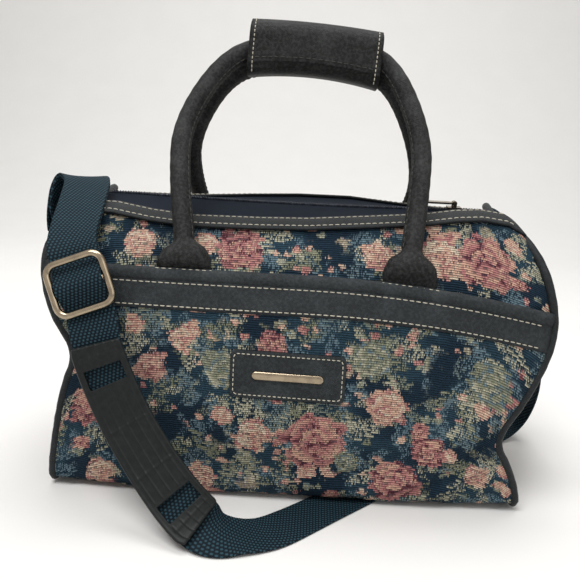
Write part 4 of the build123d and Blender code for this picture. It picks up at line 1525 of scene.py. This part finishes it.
main_route = bar_turn(left_bar, (-90, -135, -180)) + strap_route + bar_turn(right_bar, (0, 45, 90, 135, 180))
main_route += layer_points((last_place, last_place - 1), 1)
strap_line, strap_width, strap_face = ribbon_frame(main_route)


def near_run(line, point):
    """Distance along a line of its nearest place to a point."""
    return run_lengths(line)[int(np.argmin(np.linalg.norm(line - np.array(point), axis=1)))]


strap_runs = run_lengths(strap_line)
bar_run = near_run(strap_line, strap_route[bar_place][0])
strap_lift = np.zeros(len(strap_runs))
for offset, way in ((0.0, 1), (adjuster_half_length, -1), (-adjuster_half_length, -1)):
    strap_lift += way * bar_lift * np.exp(-(((strap_runs - bar_run - offset) / bar_lift_reach) ** 2))
strap = ribbon("strap_webbing", strap_line, strap_width, strap_face, strap_lift, ["shoulder_strap"])
behind_bar = np.array(adjuster_bar) - layer_gap * np.array(adjuster_out)
return_route = [(tuple(behind_bar), strap_route[bar_place][1])]
return_route += layer_points(reversed(range(bar_place)), -1) + bar_turn(left_bar, (0, -45, -90))
back_line, back_width, back_face = ribbon_frame(return_route)
strap_return = ribbon("strap_return", back_line, back_width, back_face, np.zeros(len(back_line)))


def shoulder_pad():
    """Moulded pad with a raised rim, fine ribs and two windows over the strap."""
    first, last = (near_run(strap_line, strap_route[place][0]) for place in pad_ends)
    windows = [near_run(strap_line, strap_route[place][0]) for place in pad_windows]
    half_window = pad_window_half_length
    marks = [first]
    for window in windows:
        marks += [window - half_window, window + half_window]
    marks.append(last)
    places = []
    for start, end in zip(marks, marks[1:]):
        count = max(8, int((end - start) / 0.0009))
        places.append(np.linspace(start, end, count, endpoint=False))
    places = np.concatenate(places + [np.array([last])])
    half = pad_window_half_width
    border = np.linspace(half, pad_half_width, 9)[1:]
    shares = np.concatenate([-border[::-1], np.linspace(-half, half, 61), border])
    line = read_at(places, strap_runs, strap_line)
    width = unit(read_at(places, strap_runs, strap_width))
    face = unit(read_at(places, strap_runs, strap_face))
    end_gap = np.minimum(places - first, last - places)
    narrow = 1 - 0.10 * np.clip(1 - end_gap / 0.006, 0.0, 1.0) ** 2
    edge_gap = np.minimum(pad_half_width - np.abs(shares)[None, :], end_gap[:, None])
    rim = 0.0004 * np.exp(-(((edge_gap - 0.0016) / 0.0009) ** 2))
    rim -= 0.0009 * np.clip(1 - edge_gap / 0.0010, 0.0, 1.0)
    calm = np.clip(np.min([np.abs(places - window) for window in windows], axis=0) / 0.0015 - 6.0, 0.0, 1.0)
    ribs = np.zeros((len(places), len(shares)))
    for number in range(-2, 3):
        rib = pad_rib_height * np.exp(-(((shares - number * pad_rib_pitch) / pad_rib_reach) ** 2))
        ribs += rib[None, :] * calm[:, None]
    grooves = np.zeros_like(ribs)
    for share in pad_groove_shares:
        groove = first + (last - first) * share
        profile = pad_rib_height * np.exp(-(((places - groove) / pad_groove_reach) ** 2))
        grooves += profile[:, None] * (np.abs(shares) < pad_groove_half_width)[None, :]
    height = pad_lift + pad_thickness / 2 + rim + ribs + grooves
    points = line[:, None] + width[:, None] * (shares[None, :] * narrow[:, None])[..., None]
    points += face[:, None] * height[..., None]
    points[..., 2] = np.maximum(points[..., 2], 0.0012)
    faces = []
    columns = len(shares)
    for row in range(len(places) - 1):
        middle = (places[row] + places[row + 1]) / 2
        open_row = any(abs(middle - window) < half_window for window in windows)
        for column in range(columns - 1):
            if open_row and abs((shares[column] + shares[column + 1]) / 2) < half:
                continue
            start = row * columns + column
            faces.append((start, start + columns, start + columns + 1, start + 1))
    pad = make_piece("pad_cover", points.reshape(-1, 3), faces, "pad_rubber", ["shoulder_pad"])
    thicken(pad, pad_thickness)
    return pad


pad = shoulder_pad()


def adjuster_frame():
    """Flat metal frame with round corners and a bar across its middle."""
    across = unit(np.array(adjuster_across))
    out = np.array(adjuster_out)
    out = unit(out - across * out.dot(across))
    up = np.cross(out, across)
    centre = np.array(adjuster_bar)
    loop = rounded_loop(adjuster_half_width, adjuster_half_length, adjuster_corner, 0.001)
    line = centre + loop[:, :1] * across + loop[:, 1:] * up
    ahead = unit(np.roll(line, -1, axis=0) - np.roll(line, 1, axis=0))
    side = np.cross(ahead, out)
    sides = 14
    angle = turns(sides)
    wide = adjuster_half_band * np.cos(angle)
    thick = adjuster_half_thickness * np.sin(angle)
    rings = line[:, None] + side[:, None] * wide[None, :, None] + out[None, None] * thick[None, :, None]
    count = len(line)
    verts = list(rings.reshape(-1, 3))
    faces = []
    for ring in range(count):
        low, high = ring * sides, (ring + 1) % count * sides
        for place in range(sides):
            after = (place + 1) % sides
            faces.append((low + place, low + after, high + after, high + place))
    bar = centre + np.linspace(-0.9, 0.9, 20)[:, None] * adjuster_half_width * across
    base = len(verts)
    verts += list(tube_rings(bar, out, 0.0017, 0.0014, 12).reshape(-1, 3))
    faces += shifted(ring_faces(20, 12), base)
    return make_piece("adjuster_frame", verts, faces, "metal", ["strap_adjuster"])


adjuster = adjuster_frame()

# Metal parts and the board keep their solids
finishes = dict.fromkeys(("left_ring", "right_ring", "zipper_slider", "zipper_pull"), "metal")
finishes["base_board"] = "board"
for node, finish in finishes.items():
    nodes[node].data.materials.clear()
    nodes[node].data.materials.append(materials[finish])

# Floor, light and camera
floor_mesh = bpy.data.meshes.new("floor")
sweep = [(-6.0, 0.0), (1.2, 0.0)]
bend = np.linspace(0.05, math.pi / 2, 24)
sweep += [(1.2 + 1.6 * math.sin(turn), 1.6 - 1.6 * math.cos(turn)) for turn in bend]
sweep.append((2.8, 6.0))
floor_verts = [(x, y, z) for y, z in sweep for x in (-7.0, 7.0)]
floor_faces = [(2 * row, 2 * row + 1, 2 * row + 3, 2 * row + 2) for row in range(len(sweep) - 1)]
floor_mesh.from_pydata(floor_verts, [], floor_faces)
floor_mesh.polygons.foreach_set("use_smooth", [True] * len(floor_faces))
floor = bpy.data.objects.new("floor", floor_mesh)
scene.collection.objects.link(floor)
floor_shader = Shader("floor", 0.9)
grain = floor_shader.noise(floor_shader.place(), 9.0, 4.0)
floor_shader.colour(floor_shader.mix(grain, (0.76, 0.75, 0.73), (0.80, 0.79, 0.775)))
floor_mesh.materials.append(floor_shader.material)

world = bpy.data.worlds.new("studio")
world.use_nodes = True
scene.world = world
tree = world.node_tree
path = tree.nodes.new("ShaderNodeLightPath")
seen = path.outputs["Is Camera Ray"]
for ray in ("Is Glossy Ray", "Is Transmission Ray"):
    either = tree.nodes.new("ShaderNodeMath")
    either.operation = "MAXIMUM"
    tree.links.new(seen, either.inputs[0])
    tree.links.new(path.outputs[ray], either.inputs[1])
    seen = either.outputs[0]
plain = tree.nodes["Background"]
plain.inputs["Color"].default_value = (1.0, 0.985, 0.96, 1.0)
plain.inputs["Strength"].default_value = 0.38
backdrop = tree.nodes.new("ShaderNodeBackground")
backdrop.inputs["Color"].default_value = (0.80, 0.785, 0.76, 1.0)
backdrop.inputs["Strength"].default_value = 1.0
choice = tree.nodes.new("ShaderNodeMixShader")
tree.links.new(seen, choice.inputs[0])
tree.links.new(plain.outputs[0], choice.inputs[1])
tree.links.new(backdrop.outputs[0], choice.inputs[2])
tree.links.new(choice.outputs[0], tree.nodes["World Output"].inputs["Surface"])


def lamp(name, place, target, power, size):
    """Square soft light aimed at a point."""
    light = bpy.data.lights.new(name, "AREA")
    light.energy = power
    light.size = size
    holder = bpy.data.objects.new(name, light)
    holder.location = place
    holder.rotation_euler = (Vector(target) - Vector(place)).to_track_quat("-Z", "Y").to_euler()
    scene.collection.objects.link(holder)


lamp("key", (-0.5, -0.9, 2.0), (0.0, 0.0, 0.15), 32.0, 1.0)
lamp("fill", (1.3, -1.4, 1.0), (0.0, 0.0, 0.15), 6.0, 1.4)
lamp("top", (0.2, 0.4, 2.1), (0.0, 0.0, 0.2), 14.0, 1.2)
lamp("wall", (0.0, 0.6, 2.6), (0.0, 2.6, 1.0), 30.0, 2.0)

forward = Vector(
    (
        -math.sin(camera_yaw) * math.cos(camera_pitch),
        math.cos(camera_yaw) * math.cos(camera_pitch),
        math.sin(camera_pitch),
    )
)
level = Vector((math.cos(camera_yaw), math.sin(camera_yaw), 0.0))
upright = level.cross(forward)
right = math.cos(camera_roll) * level + math.sin(camera_roll) * upright
up = -math.sin(camera_roll) * level + math.cos(camera_roll) * upright
lens = bpy.data.cameras.new("camera")
lens.sensor_fit = "HORIZONTAL"
lens.angle = camera_view
lens.clip_start = 0.01
camera = bpy.data.objects.new("camera", lens)
turn = Matrix((right, up, -forward)).transposed()
camera.matrix_world = Matrix.Translation(camera_place) @ turn.to_4x4()
scene.collection.objects.link(camera)
scene.camera = camera
scene.view_settings.view_transform = "Standard"
